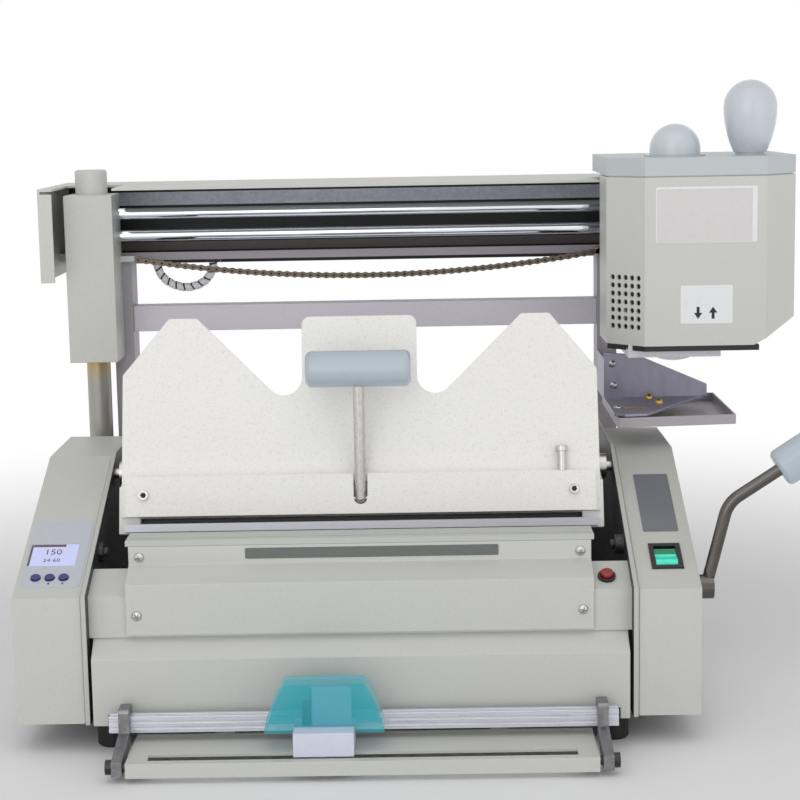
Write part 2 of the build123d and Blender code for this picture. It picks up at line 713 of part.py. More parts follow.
with BuildPart() as handle_grip:
    rod_x(handle_y, GRIP_Z, -GRIP_LENGTH / 2, GRIP_LENGTH / 2, GRIP_RADIUS)
    fillet(handle_grip.edges().filter_by(GeomType.CIRCLE), radius=5)
    rod_z(0, handle_y, GRIP_Z - GRIP_RADIUS - 1, GRIP_Z - GRIP_RADIUS + 1, 4, mode=Mode.SUBTRACT)
save(handle_grip, "handle_grip")


# Side lever

HUB_NEAR = 234.0
HUB_FAR = 243.5
LEVER_ROD_RADIUS = 4.25

with BuildPart() as lever_shaft:
    rod_x(LEVER_Y, LEVER_Z, PAN_HALF - 6, HUB_NEAR, LEVER_SHAFT_RADIUS)
    rod_x(LEVER_Y, LEVER_Z, PAN_HALF - 6, PAN_HALF - GAP, 6.8)
save(lever_shaft, "lever_shaft")

grip_x, grip_z = LEVER_GRIP_START
elbow_x, elbow_z = LEVER_ELBOW
lever_lean = math.atan2(grip_z - elbow_z, grip_x - elbow_x)
hub_x = (HUB_NEAR + HUB_FAR) / 2

with BuildPart() as lever_rod:
    rod_x(LEVER_Y, LEVER_Z, HUB_NEAR, HUB_FAR, 8.5)
    with BuildLine(front_at(LEVER_Y)) as lever_way:
        FilletPolyline((hub_x, LEVER_Z), LEVER_ELBOW, LEVER_GRIP_START, radius=22)
    with BuildSketch(Plane(origin=lever_way.line @ 0, z_dir=lever_way.line % 0)):
        Circle(LEVER_ROD_RADIUS)
    sweep(path=lever_way.line)
save(lever_rod, "lever_rod")

grip_rise = (LEVER_GRIP_RADIUS - LEVER_GRIP_ROUND) * math.sin(lever_lean)
grip_reach = RIGHT_END - grip_x - LEVER_GRIP_ROUND - grip_rise
grip_length = grip_reach / math.cos(lever_lean) + LEVER_GRIP_ROUND
grip_axis = Vector(math.cos(lever_lean), 0, math.sin(lever_lean))

with BuildPart() as lever_grip:
    with BuildSketch(Plane(origin=spot(grip_x, LEVER_Y, grip_z), z_dir=grip_axis)) as grip_round:
        Circle(LEVER_GRIP_RADIUS)
    extrude(grip_round.sketch, amount=grip_length)
    grip_ends = lever_grip.edges().filter_by(GeomType.CIRCLE).sort_by(Axis.X)
    fillet(grip_ends[-1], radius=LEVER_GRIP_ROUND)
    fillet(lever_grip.edges().filter_by(GeomType.CIRCLE).sort_by(Axis.X)[0], radius=4)
save(lever_grip, "lever_grip")


# Rear jaw, moved by the lever

with BuildPart() as rear_jaw:
    block(-150, 150, 30, 36, 60, 205)
    block(-150, 150, 30, 120, 199, 205)
    for side in (-1, 1):
        rod_y(side * JAW_ROD_X, JAW_ROD_Z, 36, 206, JAW_ROD_RADIUS)
save(rear_jaw, "rear_jaw")


# Paper trimmer

TRAY_BACK = -150.0
TRAY_LOW = 4.0
SLOT_HALF = 142.0
SLOT_FRONT = -204.0
SLOT_BACK = -192.0
TRIMMER_PIN = 3.0

with BuildPart() as trimmer_tray:
    tray_left = TRIMMER_X - TRAY_HALF
    tray_right = TRIMMER_X + TRAY_HALF
    block(tray_left, tray_right, TRAY_FRONT, TRAY_BACK, TRAY_LOW, TRAY_TOP)
    block(tray_left + SHEET, tray_right - SHEET, TRAY_FRONT + SHEET, TRAY_BACK - SHEET, TRAY_LOW,
          TRAY_TOP - PLATE, mode=Mode.SUBTRACT)
    block(TRIMMER_X - SLOT_HALF, TRIMMER_X + SLOT_HALF, SLOT_FRONT, SLOT_BACK, TRAY_LOW, TRAY_TOP + 1,
          mode=Mode.SUBTRACT)
    for side in (-1, 1):
        block(side * 88, side * 100, TRAY_BACK - SHEET, -100, TRAY_LOW, TRAY_TOP)
        block(side * 88, side * 100, -129, -100, TRAY_TOP, FLOOR_Z)
        bore_near = TRIMMER_X + side * 150
        rod_x(*ARM_PIVOT, bore_near, TRIMMER_X + side * TRAY_HALF, TRIMMER_PIN + RUNNING_FIT,
              mode=Mode.SUBTRACT)
save(trimmer_tray, "trimmer_tray")

RAIL_FRONT = -165.0
RAIL_BACK = -156.0
RAIL_LOW = 20.0
RAIL_TOP = 31.5

with BuildPart() as trimmer_rail:
    rail_left = TRIMMER_X - RAIL_HALF
    rail_right = TRIMMER_X + RAIL_HALF
    block(rail_left, rail_right, RAIL_FRONT, RAIL_BACK, RAIL_LOW, RAIL_TOP)
    block(rail_left, rail_right, -162, -159, RAIL_TOP - 1.2, RAIL_TOP, mode=Mode.SUBTRACT)
    for groove_z in (23.4, 27.4):
        block(rail_left, rail_right, RAIL_FRONT, RAIL_FRONT + 1, groove_z - 0.6, groove_z + 0.6, mode=Mode.SUBTRACT)
save(trimmer_rail, "trimmer_rail")

ARM_NEAR = 157.8
ARM_FAR = 165.0

with BuildPart() as trimmer_arms:
    arm_line = [
        (-208.5, 4.5),
        (-208.5, 14.5),
        (-171, 22),
        (-171, 38),
        (-154, 38),
        (-154, RAIL_TOP),
        (RAIL_FRONT, RAIL_TOP),
        (RAIL_FRONT, 14),
        (-198, 4.5),
    ]
    for side in (-1, 1):
        arm_near = TRIMMER_X + side * ARM_NEAR
        arm_far = TRIMMER_X + side * ARM_FAR
        plate(slice_at(arm_near), arm_line, arm_far - arm_near)
        rod_x(*ARM_PIVOT, arm_near, arm_far, TRIMMER_PIN, mode=Mode.SUBTRACT)
    top_corners = trimmer_arms.edges().filter_by(Axis.X).group_by(Axis.Z)[-1]
    fillet(top_corners, radius=3)
save(trimmer_arms, "trimmer_arms")

with BuildPart() as pivot_nuts:
    for side in (-1, 1):
        arm_far = TRIMMER_X + side * ARM_FAR
        rod_x(*ARM_PIVOT, arm_far, arm_far + side * 4, 5)
        rod_x(*ARM_PIVOT, TRIMMER_X + side * 153, arm_far, TRIMMER_PIN)
save(pivot_nuts, "pivot_nuts")

COVER_BOTTOM_WIDE = 80.2
COVER_TOP_WIDE = 54.0
COVER_BULGE = 4.4
COVER_LOW = 27.0
COVER_HIGH = 60.0
COVER_NEAR = -191.0
COVER_FAR = -170.0
COVER_WALL = 2.0
BLOCK_TOP = 31.0
SADDLE_TOP = 37.0


def dome_outline(inset, y):
    """The cutter cover's rounded outline, drawn inwards by the inset."""
    with BuildSketch(front_at(y)) as shape:
        low = COVER_BOTTOM_WIDE / 2
        high = COVER_TOP_WIDE / 2
        with BuildLine():
            side_mid = (low + high) / 2 + COVER_BULGE / 2
            mid_height = (COVER_LOW + COVER_HIGH) / 2
            left_low = (CUTTER_X - low, COVER_LOW)
            left_high = (CUTTER_X - high, COVER_HIGH)
            right_low = (CUTTER_X + low, COVER_LOW)
            right_high = (CUTTER_X + high, COVER_HIGH)
            ThreePointArc(left_low, (CUTTER_X - side_mid, mid_height), left_high)
            Line(left_high, right_high)
            ThreePointArc(right_high, (CUTTER_X + side_mid, mid_height), right_low)
            Line(right_low, left_low)
        make_face()
        fillet([corner for corner in shape.vertices() if corner.Y > COVER_LOW + 1], radius=4)
        if inset > 0:
            offset(amount=-inset)
    return shape.sketch


with BuildPart() as cutter_cover:
    extrude(dome_outline(0, COVER_FAR), amount=COVER_FAR - COVER_NEAR)
    inner_depth = COVER_FAR - COVER_NEAR - 2 * COVER_WALL
    extrude(dome_outline(COVER_WALL, COVER_FAR - COVER_WALL), amount=inner_depth, mode=Mode.SUBTRACT)
    block(CUTTER_X - 38, CUTTER_X + 38, COVER_NEAR + COVER_WALL, COVER_FAR - COVER_WALL, COVER_LOW - 1,
          COVER_LOW + 4, mode=Mode.SUBTRACT)
    block(CUTTER_X - 20.4, CUTTER_X + 20.4, COVER_NEAR - 1, COVER_FAR + 1, COVER_LOW - 1, BLOCK_TOP + GAP,
          mode=Mode.SUBTRACT)
    block(CUTTER_X - 15.4, CUTTER_X + 15.4, COVER_FAR - 3, COVER_FAR + 1, COVER_LOW - 1, SADDLE_TOP + GAP,
          mode=Mode.SUBTRACT)
save(cutter_cover, "cutter_cover")

with BuildPart() as cutter_block:
    block(CUTTER_X - 20, CUTTER_X + 20, -204, -166, TRAY_TOP + 1, BLOCK_TOP)
    block(CUTTER_X - 15, CUTTER_X + 15, -175, -166, BLOCK_TOP, SADDLE_TOP)
    block(CUTTER_X - 15, CUTTER_X + 15, -175, -158, RAIL_TOP + GAP, SADDLE_TOP)
    block(CUTTER_X - 8, CUTTER_X + 18, -187, -178, BLOCK_TOP, COVER_HIGH - COVER_WALL)
    block(CUTTER_X - 11, CUTTER_X + 11, WHEEL_Y - 2.5, WHEEL_Y + 2.5, TRAY_TOP, BLOCK_TOP - 0.6,
          mode=Mode.SUBTRACT)
    rod_y(CUTTER_X, WHEEL_Z, -202, -192, 2 + RUNNING_FIT, mode=Mode.SUBTRACT)
save(cutter_block, "cutter_block")

with BuildPart() as cutter_wheel:
    rod_y(CUTTER_X, WHEEL_Z, WHEEL_Y - 1, WHEEL_Y + 1, WHEEL_RADIUS)
    chamfer(cutter_wheel.edges().filter_by(GeomType.CIRCLE), length=0.6)
    rod_y(CUTTER_X, WHEEL_Z, -200.9, -192.1, 2)
save(cutter_wheel, "cutter_wheel")


# Glue pot carriage

LEFT_BEVEL_X = POT_LEFT + POT_BEVEL
RIGHT_BEVEL_X = POT_RIGHT - POT_BEVEL
SHELL_CUT = [(292, 250), (292, POT_FLOOR), (330, 276.6), (330, 250)]
VENT_Z = 288.6


def pot_plan(back, inset=0.0):
    """The pot's outline seen from above: a box with both front corners bevelled."""
    corner = inset * math.tan(math.radians(22.5))
    return [
        (POT_LEFT + inset, back),
        (POT_LEFT + inset, POT_BEVEL + corner),
        (LEFT_BEVEL_X + corner, inset),
        (RIGHT_BEVEL_X - corner, inset),
        (POT_RIGHT - inset, POT_BEVEL + corner),
        (POT_RIGHT - inset, back),
    ]


with BuildPart() as pot_shell:
    plate(level(POT_FLOOR), folded(pot_plan(POT_BACK), SHEET), POT_RIM - POT_FLOOR)
    plate(level(POT_RIM - 12), folded(pot_plan(POT_BACK, SHEET), SHEET), 15)
    plate(front_at(POT_BACK + 1), SHELL_CUT, POT_BACK + 2, mode=Mode.SUBTRACT)
    vent_face = Plane(
        origin=spot((POT_LEFT + LEFT_BEVEL_X) / 2, POT_BEVEL / 2, VENT_Z),
        x_dir=(1, -1, 0),
        z_dir=(-1, -1, 0),
    )
    with BuildSketch(vent_face) as vents:
        with GridLocations(6.1, 6.1, 5, 7):
            Circle(2)
    extrude(vents.sketch, amount=4, both=True, mode=Mode.SUBTRACT)
save(pot_shell, "pot_shell")

LID_LOW = POT_RIM + 1
KNUCKLE_Y = 60.0
KNUCKLE_Z = LID_TOP + 2

with BuildPart() as pot_lid:
    plate(level(LID_LOW), pot_plan(LID_BACK), LID_TOP - LID_LOW)
    plate(level(LID_LOW), pot_plan(LID_BACK - SHEET, SHEET), LID_TOP - PLATE - LID_LOW, mode=Mode.SUBTRACT)
    rod_z(HATCH_X, HATCH_Y, LID_TOP - 4, LID_TOP + 1, 20, mode=Mode.SUBTRACT)
    for side in (-1, 1):
        block(HATCH_X + side * 6.4, HATCH_X + side * 11, KNUCKLE_Y - 2, KNUCKLE_Y + 2, LID_TOP, LID_TOP + 4)
    rod_x(KNUCKLE_Y, KNUCKLE_Z, HATCH_X - 12, HATCH_X + 12, 1 + RUNNING_FIT, mode=Mode.SUBTRACT)
save(pot_lid, "pot_lid")

with BuildPart() as pot_base:
    base_line = [(186, 74), (186, 26), (211.4, 0.8), (296, 0.8), (296, 74)]
    plate(level(POT_FLOOR - 4), base_line, 4)
    block(199, 270, 9, 63, POT_FLOOR - 5, POT_FLOOR + 1, mode=Mode.SUBTRACT)
save(pot_base, "pot_base")

TANK_TOP = 360.0
ROLLER_BORE = ROLLER_RADIUS + 0.8

with BuildPart() as glue_tank:
    tank_line = [(190, 72), (190, 26), (208, 8), (304, 8), (316, 20), (316, 72)]
    cavity_line = [(196, 66), (196, 28.5), (210.5, 14), (301.5, 14), (310, 22.5), (310, 66)]
    plate(level(POT_FLOOR), tank_line, TANK_TOP - POT_FLOOR)
    plate(level(POT_FLOOR + 5.5), cavity_line, TANK_TOP - POT_FLOOR, mode=Mode.SUBTRACT)
    block(200, 269, 10, 62, POT_FLOOR - 9.5, POT_FLOOR)
    rod_y(ROLLER_X, ROLLER_Z, 14, 58.3, ROLLER_BORE, mode=Mode.SUBTRACT)
    rod_y(ROLLER_X, ROLLER_Z, 9.8, 73, ROLLER_SHAFT + RUNNING_FIT, mode=Mode.SUBTRACT)
    plate(front_at(73), [(288, 250), (288, 256.4), (320, 275), (320, 250)], 68, mode=Mode.SUBTRACT)
    for lug_x in (205, 300):
        block(lug_x, lug_x + 10, 72, POT_BACK, 320, 350)
save(glue_tank, "glue_tank")

EGG_LOW = LID_TOP + 2
EGG_RADIUS = 19.85
EGG_TOP = 451.0
EGG_WIDEST = EGG_TOP - EGG_RADIUS
EGG_NECK = 12.0


def turning_plane(x, y):
    """A drawing plane through a knob's upright axis: first axis outward, second axis up."""
    return Plane(origin=spot(x, y, 0), x_dir=(1, 0, 0), z_dir=(0, -1, 0))


def upright_axis(x, y):
    return Axis(spot(x, y, 0), (0, 0, 1))


with BuildPart() as egg_knob:
    rod_z(EGG_X, EGG_Y, LID_TOP, EGG_LOW, 11)
    with BuildSketch(turning_plane(EGG_X, EGG_Y)) as egg_half:
        with BuildLine():
            crown = CenterArc((0, EGG_WIDEST), EGG_RADIUS, start_angle=0, arc_size=90)
            flank = TangentArc((EGG_RADIUS, EGG_WIDEST), (EGG_NECK, EGG_LOW), tangent=(0, -1))
            Polyline(crown @ 1, (0, EGG_LOW), flank @ 1)
        make_face()
    revolve(egg_half.sketch, axis=upright_axis(EGG_X, EGG_Y))
save(egg_knob, "egg_knob")

with BuildPart() as carriage_block:
    block(187, 325, POT_BACK, POT_BACK + 2, 262, 378)
    block(215, 295, POT_BACK + 2, 115, 330, 360)
    block(205, 305, 115, 141, 328, 364)
    for bore_z in (ROD_LOW, ROD_HIGH):
        rod_x(ROD_Y, bore_z, 200, 310, ROD_RADIUS + RUNNING_FIT, mode=Mode.SUBTRACT)
    rod_y(ROLLER_X, ROLLER_Z, POT_BACK - 1, POT_BACK + 3, ROLLER_SHAFT + RUNNING_FIT, mode=Mode.SUBTRACT)
save(carriage_block, "carriage_block")

DOME_RADIUS = 19.0
DOME_LOW = LID_TOP + 1.5
DOME_TOP = 419.5

with BuildPart() as dome_knob:
    rod_z(HATCH_X, HATCH_Y, LID_TOP, DOME_LOW, 23)
    block(HATCH_X - 6, HATCH_X + 6, HATCH_Y, KNUCKLE_Y - 0.8, LID_TOP, DOME_LOW)
    with BuildSketch(turning_plane(HATCH_X, HATCH_Y)) as dome_half:
        with BuildLine():
            round_top = CenterArc((0, DOME_TOP - DOME_RADIUS), DOME_RADIUS, start_angle=0, arc_size=90)
            Polyline(round_top @ 1, (0, DOME_LOW), (DOME_RADIUS, DOME_LOW), round_top @ 0)
        make_face()
    revolve(dome_half.sketch, axis=upright_axis(HATCH_X, HATCH_Y))
    rod_x(KNUCKLE_Y, KNUCKLE_Z, HATCH_X - 6, HATCH_X + 6, 1.8)
    rod_x(KNUCKLE_Y, KNUCKLE_Z, HATCH_X - 10.8, HATCH_X + 10.8, 1)
save(dome_knob, "dome_knob")

PITCH_RADIUS = CHAIN_PITCH / (2 * math.sin(math.pi / SPROCKET_TEETH))
TOOTH_TIP = PITCH_RADIUS + 2
TOOTH_ROOT = PITCH_RADIUS - 1.7

with BuildPart() as glue_rollers:
    for roller_y in (15, 37.5):
        rod_y(ROLLER_X, ROLLER_Z, roller_y, roller_y + 19.5, ROLLER_RADIUS)
    rod_y(ROLLER_X, ROLLER_Z, 10, 133, ROLLER_SHAFT)
    rod_y(ROLLER_X, ROLLER_Z, 128, 133, TOOTH_ROOT)
    sprocket_face = Plane(origin=spot(ROLLER_X, 131.5, ROLLER_Z), x_dir=(1, 0, 0), z_dir=(0, -1, 0))
    with BuildSketch(sprocket_face) as teeth:
        with PolarLocations(TOOTH_ROOT - 0.5, SPROCKET_TEETH):
            tooth_tall = TOOTH_TIP - TOOTH_ROOT + 0.5
            Polygon((0, -1.7), (tooth_tall, -0.8), (tooth_tall, 0.8), (0, 1.7), align=None)
    extrude(teeth.sketch, amount=2.2)
save(glue_rollers, "glue_rollers")


# Push buttons and the power rocker

def panel_button(button_x):
    """A round cap through the console slope, held below it by a wider collar."""
    slope_disc(button_x, BUTTON_Y, BUTTON_RADIUS, -4.5, 1.6)
    slope_disc(button_x, BUTTON_Y, BUTTON_RADIUS + 1.2, -4.5, -SHEET - GAP)


for button_name, button_place in zip(("left_button", "middle_button", "right_button"), BUTTON_XS):
    with BuildPart() as button:
        panel_button(button_place)
    save(button, button_name)

with BuildPart() as power_rocker:
    with BuildSketch(rocker_slice(-ROCKER_WIDE / 2)) as rocker_side:
        with Locations((0, ROCKER_DEPTH)):
            Circle(ROCKER_SWEEP)
        with BuildLine():
            Polyline((-12, 4.4), (0, 0), (12, 0), (12, 14), (-12, 14), close=True)
        make_face(mode=Mode.SUBTRACT)
        with Locations((0, -15)):
            Rectangle(24, 12, mode=Mode.SUBTRACT)
    extrude(rocker_side.sketch, amount=ROCKER_WIDE)
    rocker_round(9.2, ROCKER_PIN)
save(power_rocker, "power_rocker")

with BuildPart() as red_button:
    with BuildSketch(cover_plane(RED_X, RED_Y, -6)) as red_stem:
        Circle(4.5)
    extrude(red_stem.sketch, amount=11.5)
    fillet(red_button.edges().filter_by(GeomType.CIRCLE).sort_by(Axis.Z)[-1], radius=1.5)
    with BuildSketch(cover_plane(RED_X, RED_Y, -6)) as red_collar:
        Circle(6)
    extrude(red_collar.sketch, amount=6 - SHEET - GAP)
save(red_button, "red_button")
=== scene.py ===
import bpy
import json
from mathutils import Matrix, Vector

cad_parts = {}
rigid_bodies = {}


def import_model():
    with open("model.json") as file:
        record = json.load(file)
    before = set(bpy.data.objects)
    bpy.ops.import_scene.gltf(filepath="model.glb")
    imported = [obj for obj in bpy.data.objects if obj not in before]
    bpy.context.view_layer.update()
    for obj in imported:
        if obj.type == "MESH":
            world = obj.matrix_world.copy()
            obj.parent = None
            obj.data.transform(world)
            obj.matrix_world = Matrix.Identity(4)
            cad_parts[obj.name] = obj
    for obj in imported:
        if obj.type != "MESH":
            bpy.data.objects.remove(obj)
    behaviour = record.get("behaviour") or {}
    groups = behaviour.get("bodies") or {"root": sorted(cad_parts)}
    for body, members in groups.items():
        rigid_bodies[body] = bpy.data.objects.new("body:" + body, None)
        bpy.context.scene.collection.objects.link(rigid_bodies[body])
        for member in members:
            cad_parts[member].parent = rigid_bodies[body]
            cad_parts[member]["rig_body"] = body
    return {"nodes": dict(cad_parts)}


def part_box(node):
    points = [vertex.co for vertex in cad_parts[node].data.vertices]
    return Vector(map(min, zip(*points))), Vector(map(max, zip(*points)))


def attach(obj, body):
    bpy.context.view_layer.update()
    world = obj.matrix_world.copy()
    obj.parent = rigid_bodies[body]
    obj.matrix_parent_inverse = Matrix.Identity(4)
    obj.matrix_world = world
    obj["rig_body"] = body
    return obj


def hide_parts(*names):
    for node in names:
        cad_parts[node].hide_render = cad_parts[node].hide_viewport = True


bl_info = {
    "name": "Hot melt binder dressing",
    "version": (1, 0, 0),
    "blender": (4, 5, 0),
    "location": "3D View > Sidebar > Binder",
    "description": "Finishes, small parts, camera and light for a desktop hot melt binding machine",
    "category": "Object",
}

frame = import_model()

import json
import math

import bmesh
import bpy
from bpy.props import FloatProperty, FloatVectorProperty, IntProperty, PointerProperty
from mathutils import Matrix, Vector

MM = 0.001
ORIGIN_SHIFT = -53.5
MERGE_GAP = 1e-6
FLAT_ANGLE = math.radians(0.5)
FOLD_ANGLE = math.radians(40)
DUST_SHARE = 0.12
# Depth of each finish's relief, in metres
POWDER_RELIEF, METAL_RELIEF, MOULD_RELIEF, GLUE_RELIEF = 0.0002, 0.0001, 0.0003, 0.0008
# Depth and height, in millimetres, of where the sloping faces and the clamp's face start and end
SLOPE_FOOT = (-144.0, 109.0)
SLOPE_CREST = (13.0, 178.4)
COVER_FOOT = (-138.0, 108.0)
COVER_CREST = (-109.0, 120.7)
CLAMP_FOOT = (-64.7, 147.0)
CLAMP_LEAN = math.radians(17.68)
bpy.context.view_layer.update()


# Places and drawing planes, in the machine's own millimetres

def at(x, y, z):
    """A point written from the clamp's middle, in millimetres, as a place in the frame."""
    return Vector(((ORIGIN_SHIFT + x) * MM, y * MM, z * MM))


def plane_matrix(origin, across, up):
    """A drawing plane: local X runs across, local Y up, local Z out of the face."""
    across = Vector(across).normalized()
    up = Vector(up).normalized()
    turn = Matrix((across, up, across.cross(up))).transposed()
    return Matrix.Translation(origin) @ turn.to_4x4()


def front_plane(y):
    return plane_matrix(at(0, y, 0), (1, 0, 0), (0, 0, 1))


def level_plane(z):
    return plane_matrix(at(0, 0, z), (1, 0, 0), (0, 1, 0))


def tilted_plane(foot, crest, y, lift=0.0):
    """A plane on a face that leans back, its local origin at the given depth on that face."""
    rise = (crest[1] - foot[1]) / (crest[0] - foot[0])
    up = Vector((0, 1, rise)).normalized()
    place = at(0, y, foot[1] + (y - foot[0]) * rise)
    out = Vector((1, 0, 0)).cross(up)
    return plane_matrix(place + out * lift * MM, (1, 0, 0), up)


def console_plane(y, lift=0.0):
    return tilted_plane(SLOPE_FOOT, SLOPE_CREST, y, lift)


def clamp_plane(lift=0.0):
    up = Vector((0, math.sin(CLAMP_LEAN), math.cos(CLAMP_LEAN)))
    out = Vector((1, 0, 0)).cross(up)
    return plane_matrix(at(0, *CLAMP_FOOT) + out * lift * MM, (1, 0, 0), up)


# Outlines, as lists of points in millimetres on a plane

# Steps in a rounded corner
CORNER_STEPS = 5


def rounded_rect(x0, x1, y0, y1, corner):
    points = []
    for cx, cy, start in ((x1 - corner, y1 - corner, 0), (x0 + corner, y1 - corner, 90),
                          (x0 + corner, y0 + corner, 180), (x1 - corner, y0 + corner, 270)):
        for step in range(CORNER_STEPS + 1):
            turn = math.radians(start + 90 * step / CORNER_STEPS)
            points.append((cx + corner * math.cos(turn), cy + corner * math.sin(turn)))
    return points


def disc(cx, cy, radius, steps=28):
    turns = [2 * math.pi * step / steps for step in range(steps)]
    return [(cx + radius * math.cos(turn), cy + radius * math.sin(turn)) for turn in turns]


def arrow(cx, cy, tall, up):
    """A plain arrow outline about its middle."""
    half = tall / 2
    wide = tall * 0.34
    neck = tall * 0.12
    shape = [(-neck, -half), (neck, -half), (neck, 0), (wide, 0), (0, half), (-wide, 0), (-neck, 0)]
    side = 1 if up else -1
    return [(cx + x, cy + side * y) for x, y in shape]


# Making and finishing pieces

def object_for(name, data):
    """A new object, linked to the scene."""
    made = bpy.data.objects.new(name, data)
    bpy.context.scene.collection.objects.link(made)
    return made


def piece_from(name, mesh, finish, body, slot, smooth_angle=35):
    """Links a finished mesh as a piece that rides on a body."""
    piece = object_for(name, mesh)
    mesh.materials.clear()
    mesh.materials.append(coat_of(finish))
    mesh.shade_smooth()
    mesh.set_sharp_from_angle(angle=math.radians(smooth_angle))
    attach(piece, body)
    return piece


def evaluated_mesh(source):
    """The plain mesh that an object's curve, text or modifiers give; the object is then removed."""
    graph = bpy.context.evaluated_depsgraph_get()
    graph.update()
    mesh = bpy.data.meshes.new_from_object(source.evaluated_get(graph), depsgraph=graph)
    bpy.data.objects.remove(source)
    return mesh


def mesh_from(work, name, outward=True):
    """Writes a bmesh out as a new mesh, its faces turned outward if wanted, and frees it."""
    if outward:
        bmesh.ops.recalc_face_normals(work, faces=work.faces)
    mesh = bpy.data.meshes.new(name)
    work.to_mesh(mesh)
    work.free()
    return mesh


def add_spline(curve, kind, places):
    spline = curve.splines.new(kind)
    spline.points.add(len(places) - 1)
    for point, place in zip(spline.points, places):
        point.co = (*place, 1)
    return spline


def flat_panel(loops, thick, plane, round_edge=0.0):
    """A flat sheet from outlines: the first is its rim and the others are holes or islands."""
    curve = bpy.data.curves.new("outline", "CURVE")
    curve.dimensions = "2D"
    curve.fill_mode = "BOTH"
    curve.extrude = thick * MM / 2 - round_edge * MM
    curve.bevel_depth = round_edge * MM
    curve.bevel_resolution = 2
    for loop in loops:
        add_spline(curve, "POLY", [(x * MM, y * MM, 0) for x, y in loop]).use_cyclic_u = True
    mesh = evaluated_mesh(object_for("outline", curve))
    mesh.transform(plane @ Matrix.Translation((0, 0, thick * MM / 2)))
    work = bmesh.new()
    work.from_mesh(mesh)
    bmesh.ops.remove_doubles(work, verts=work.verts, dist=MERGE_GAP)
    bmesh.ops.recalc_face_normals(work, faces=work.faces)
    work.to_mesh(mesh)
    work.free()
    return mesh


def panel_piece(name, loops, thick, plane, finish, body, slot):
    """A flat sheet as a piece of its own."""
    return piece_from(name, flat_panel(loops, thick, plane), finish, body, slot)


def bridge(work, rings, count):
    """Joins each ring of points to the next; a ring may be one point on the axis."""
    for low, high in zip(rings, rings[1:]):
        for step in range(count):
            after = (step + 1) % count
            corners = [low[step % len(low)], low[after % len(low)],
                       high[after % len(high)], high[step % len(high)]]
            unique = list(dict.fromkeys(corners))
            if len(unique) > 2:
                work.faces.new(unique)


def lathe(profile, segments, reach=None):
    """Turns a list of (radius, height) round local Z; reach scales a ring's radius by its turn."""
    work = bmesh.new()
    rings = []
    for radius, height in profile:
        if radius < MERGE_GAP:
            rings.append([work.verts.new((0, 0, height * MM))])
            continue
        ring = []
        for step in range(segments):
            turn = 2 * math.pi * step / segments
            far = radius * (reach(turn, height) if reach else 1.0)
            ring.append(work.verts.new((far * math.cos(turn) * MM, far * math.sin(turn) * MM, height * MM)))
        rings.append(ring)
    bridge(work, rings, segments)
    return mesh_from(work, "turned")


def box_mesh(x0, x1, y0, y1, z0, z1, round_edge, plane=None):
    """A block with rounded edges, in machine millimetres or on a given plane."""
    work = bmesh.new()
    bmesh.ops.create_cube(work, size=1.0)
    for corner in work.verts:
        sides = [high if value > 0 else low
                 for value, low, high in zip(corner.co, (x0, y0, z0), (x1, y1, z1))]
        corner.co = plane @ (Vector(sides) * MM) if plane else at(*sides)
    bmesh.ops.bevel(work, geom=work.edges, offset=round_edge * MM, segments=2, affect="EDGES", profile=0.5)
    return mesh_from(work, "block")


def join_meshes(meshes):
    """One mesh from several."""
    work = bmesh.new()
    for mesh in meshes:
        work.from_mesh(mesh)
        bpy.data.meshes.remove(mesh)
    return mesh_from(work, "joined", outward=False)


def rounded_copy(node, width, finish, slot, segments=2):
    """A copy of a CAD node with its folds and edges rounded, which stands for the node."""
    source = frame["nodes"][node]
    work = bmesh.new()
    work.from_mesh(source.data)
    bmesh.ops.remove_doubles(work, verts=work.verts, dist=MERGE_GAP)
    bmesh.ops.dissolve_limit(work, angle_limit=FLAT_ANGLE, verts=work.verts, edges=work.edges)
    mesh = mesh_from(work, node + "_rounded", outward=False)
    piece = piece_from(node + "_skin", mesh, finish, source["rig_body"], slot)
    rounding = piece.modifiers.new("folds", "BEVEL")
    rounding.width = width * MM
    rounding.segments = segments
    rounding.limit_method = "ANGLE"
    rounding.angle_limit = FOLD_ANGLE
    rounding.harden_normals = True
    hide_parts(node)
    return piece


# Colour helpers and shared shader groups

def linear(red, green, blue):
    """A colour written as 0 to 255 screen values, as the linear values a shader takes."""
    def curve(value):
        value = value / 255
        return value / 12.92 if value <= 0.04045 else ((value + 0.055) / 1.055) ** 2.4
    return (curve(red), curve(green), curve(blue))


def shade(colour, factor):
    return tuple(min(1.0, part * factor) for part in colour[:3])


def feed(tree, node, **values):
    """Sets a node's inputs, by name or number: to a plain value, or linked from a (node, output) pair."""
    for label, value in values.items():
        label = label.replace("_", " ")
        socket = node.inputs[int(label)] if label.isdigit() else node.inputs[label]
        if isinstance(value, tuple) and isinstance(value[0], bpy.types.Node):
            tree.links.new(value[0].outputs[value[1]], socket)
        else:
            socket.default_value = value
    return node


def add(tree, kind, **settings):
    """A node with its settings; those whose names start with in_ are inputs, as feed takes them."""
    node = tree.nodes.new(kind)
    inputs = {}
    for key, value in settings.items():
        if key.startswith("in_"):
            inputs[key[3:]] = value
        else:
            setattr(node, key, value)
    return feed(tree, node, **inputs)


# Each of these adds one node and returns it with its output's name, ready for feed

def object_place(tree):
    return add(tree, "ShaderNodeTexCoord"), "Object"


def part_of(tree, vector, axis):
    return add(tree, "ShaderNodeSeparateXYZ", in_Vector=vector), axis


def noise(tree, place, scale, detail, roughness=0.5):
    return add(tree, "ShaderNodeTexNoise", in_Vector=place, in_Scale=scale, in_Detail=detail,
               in_Roughness=roughness), "Fac"


def ramp(tree, value, low=0.0, high=1.0, start=0.0, end=1.0):
    """Carries a value from the range start to end over to the range low to high."""
    return add(tree, "ShaderNodeMapRange", in_Value=value, in_From_Min=start, in_From_Max=end,
               in_To_Min=low, in_To_Max=high), "Result"


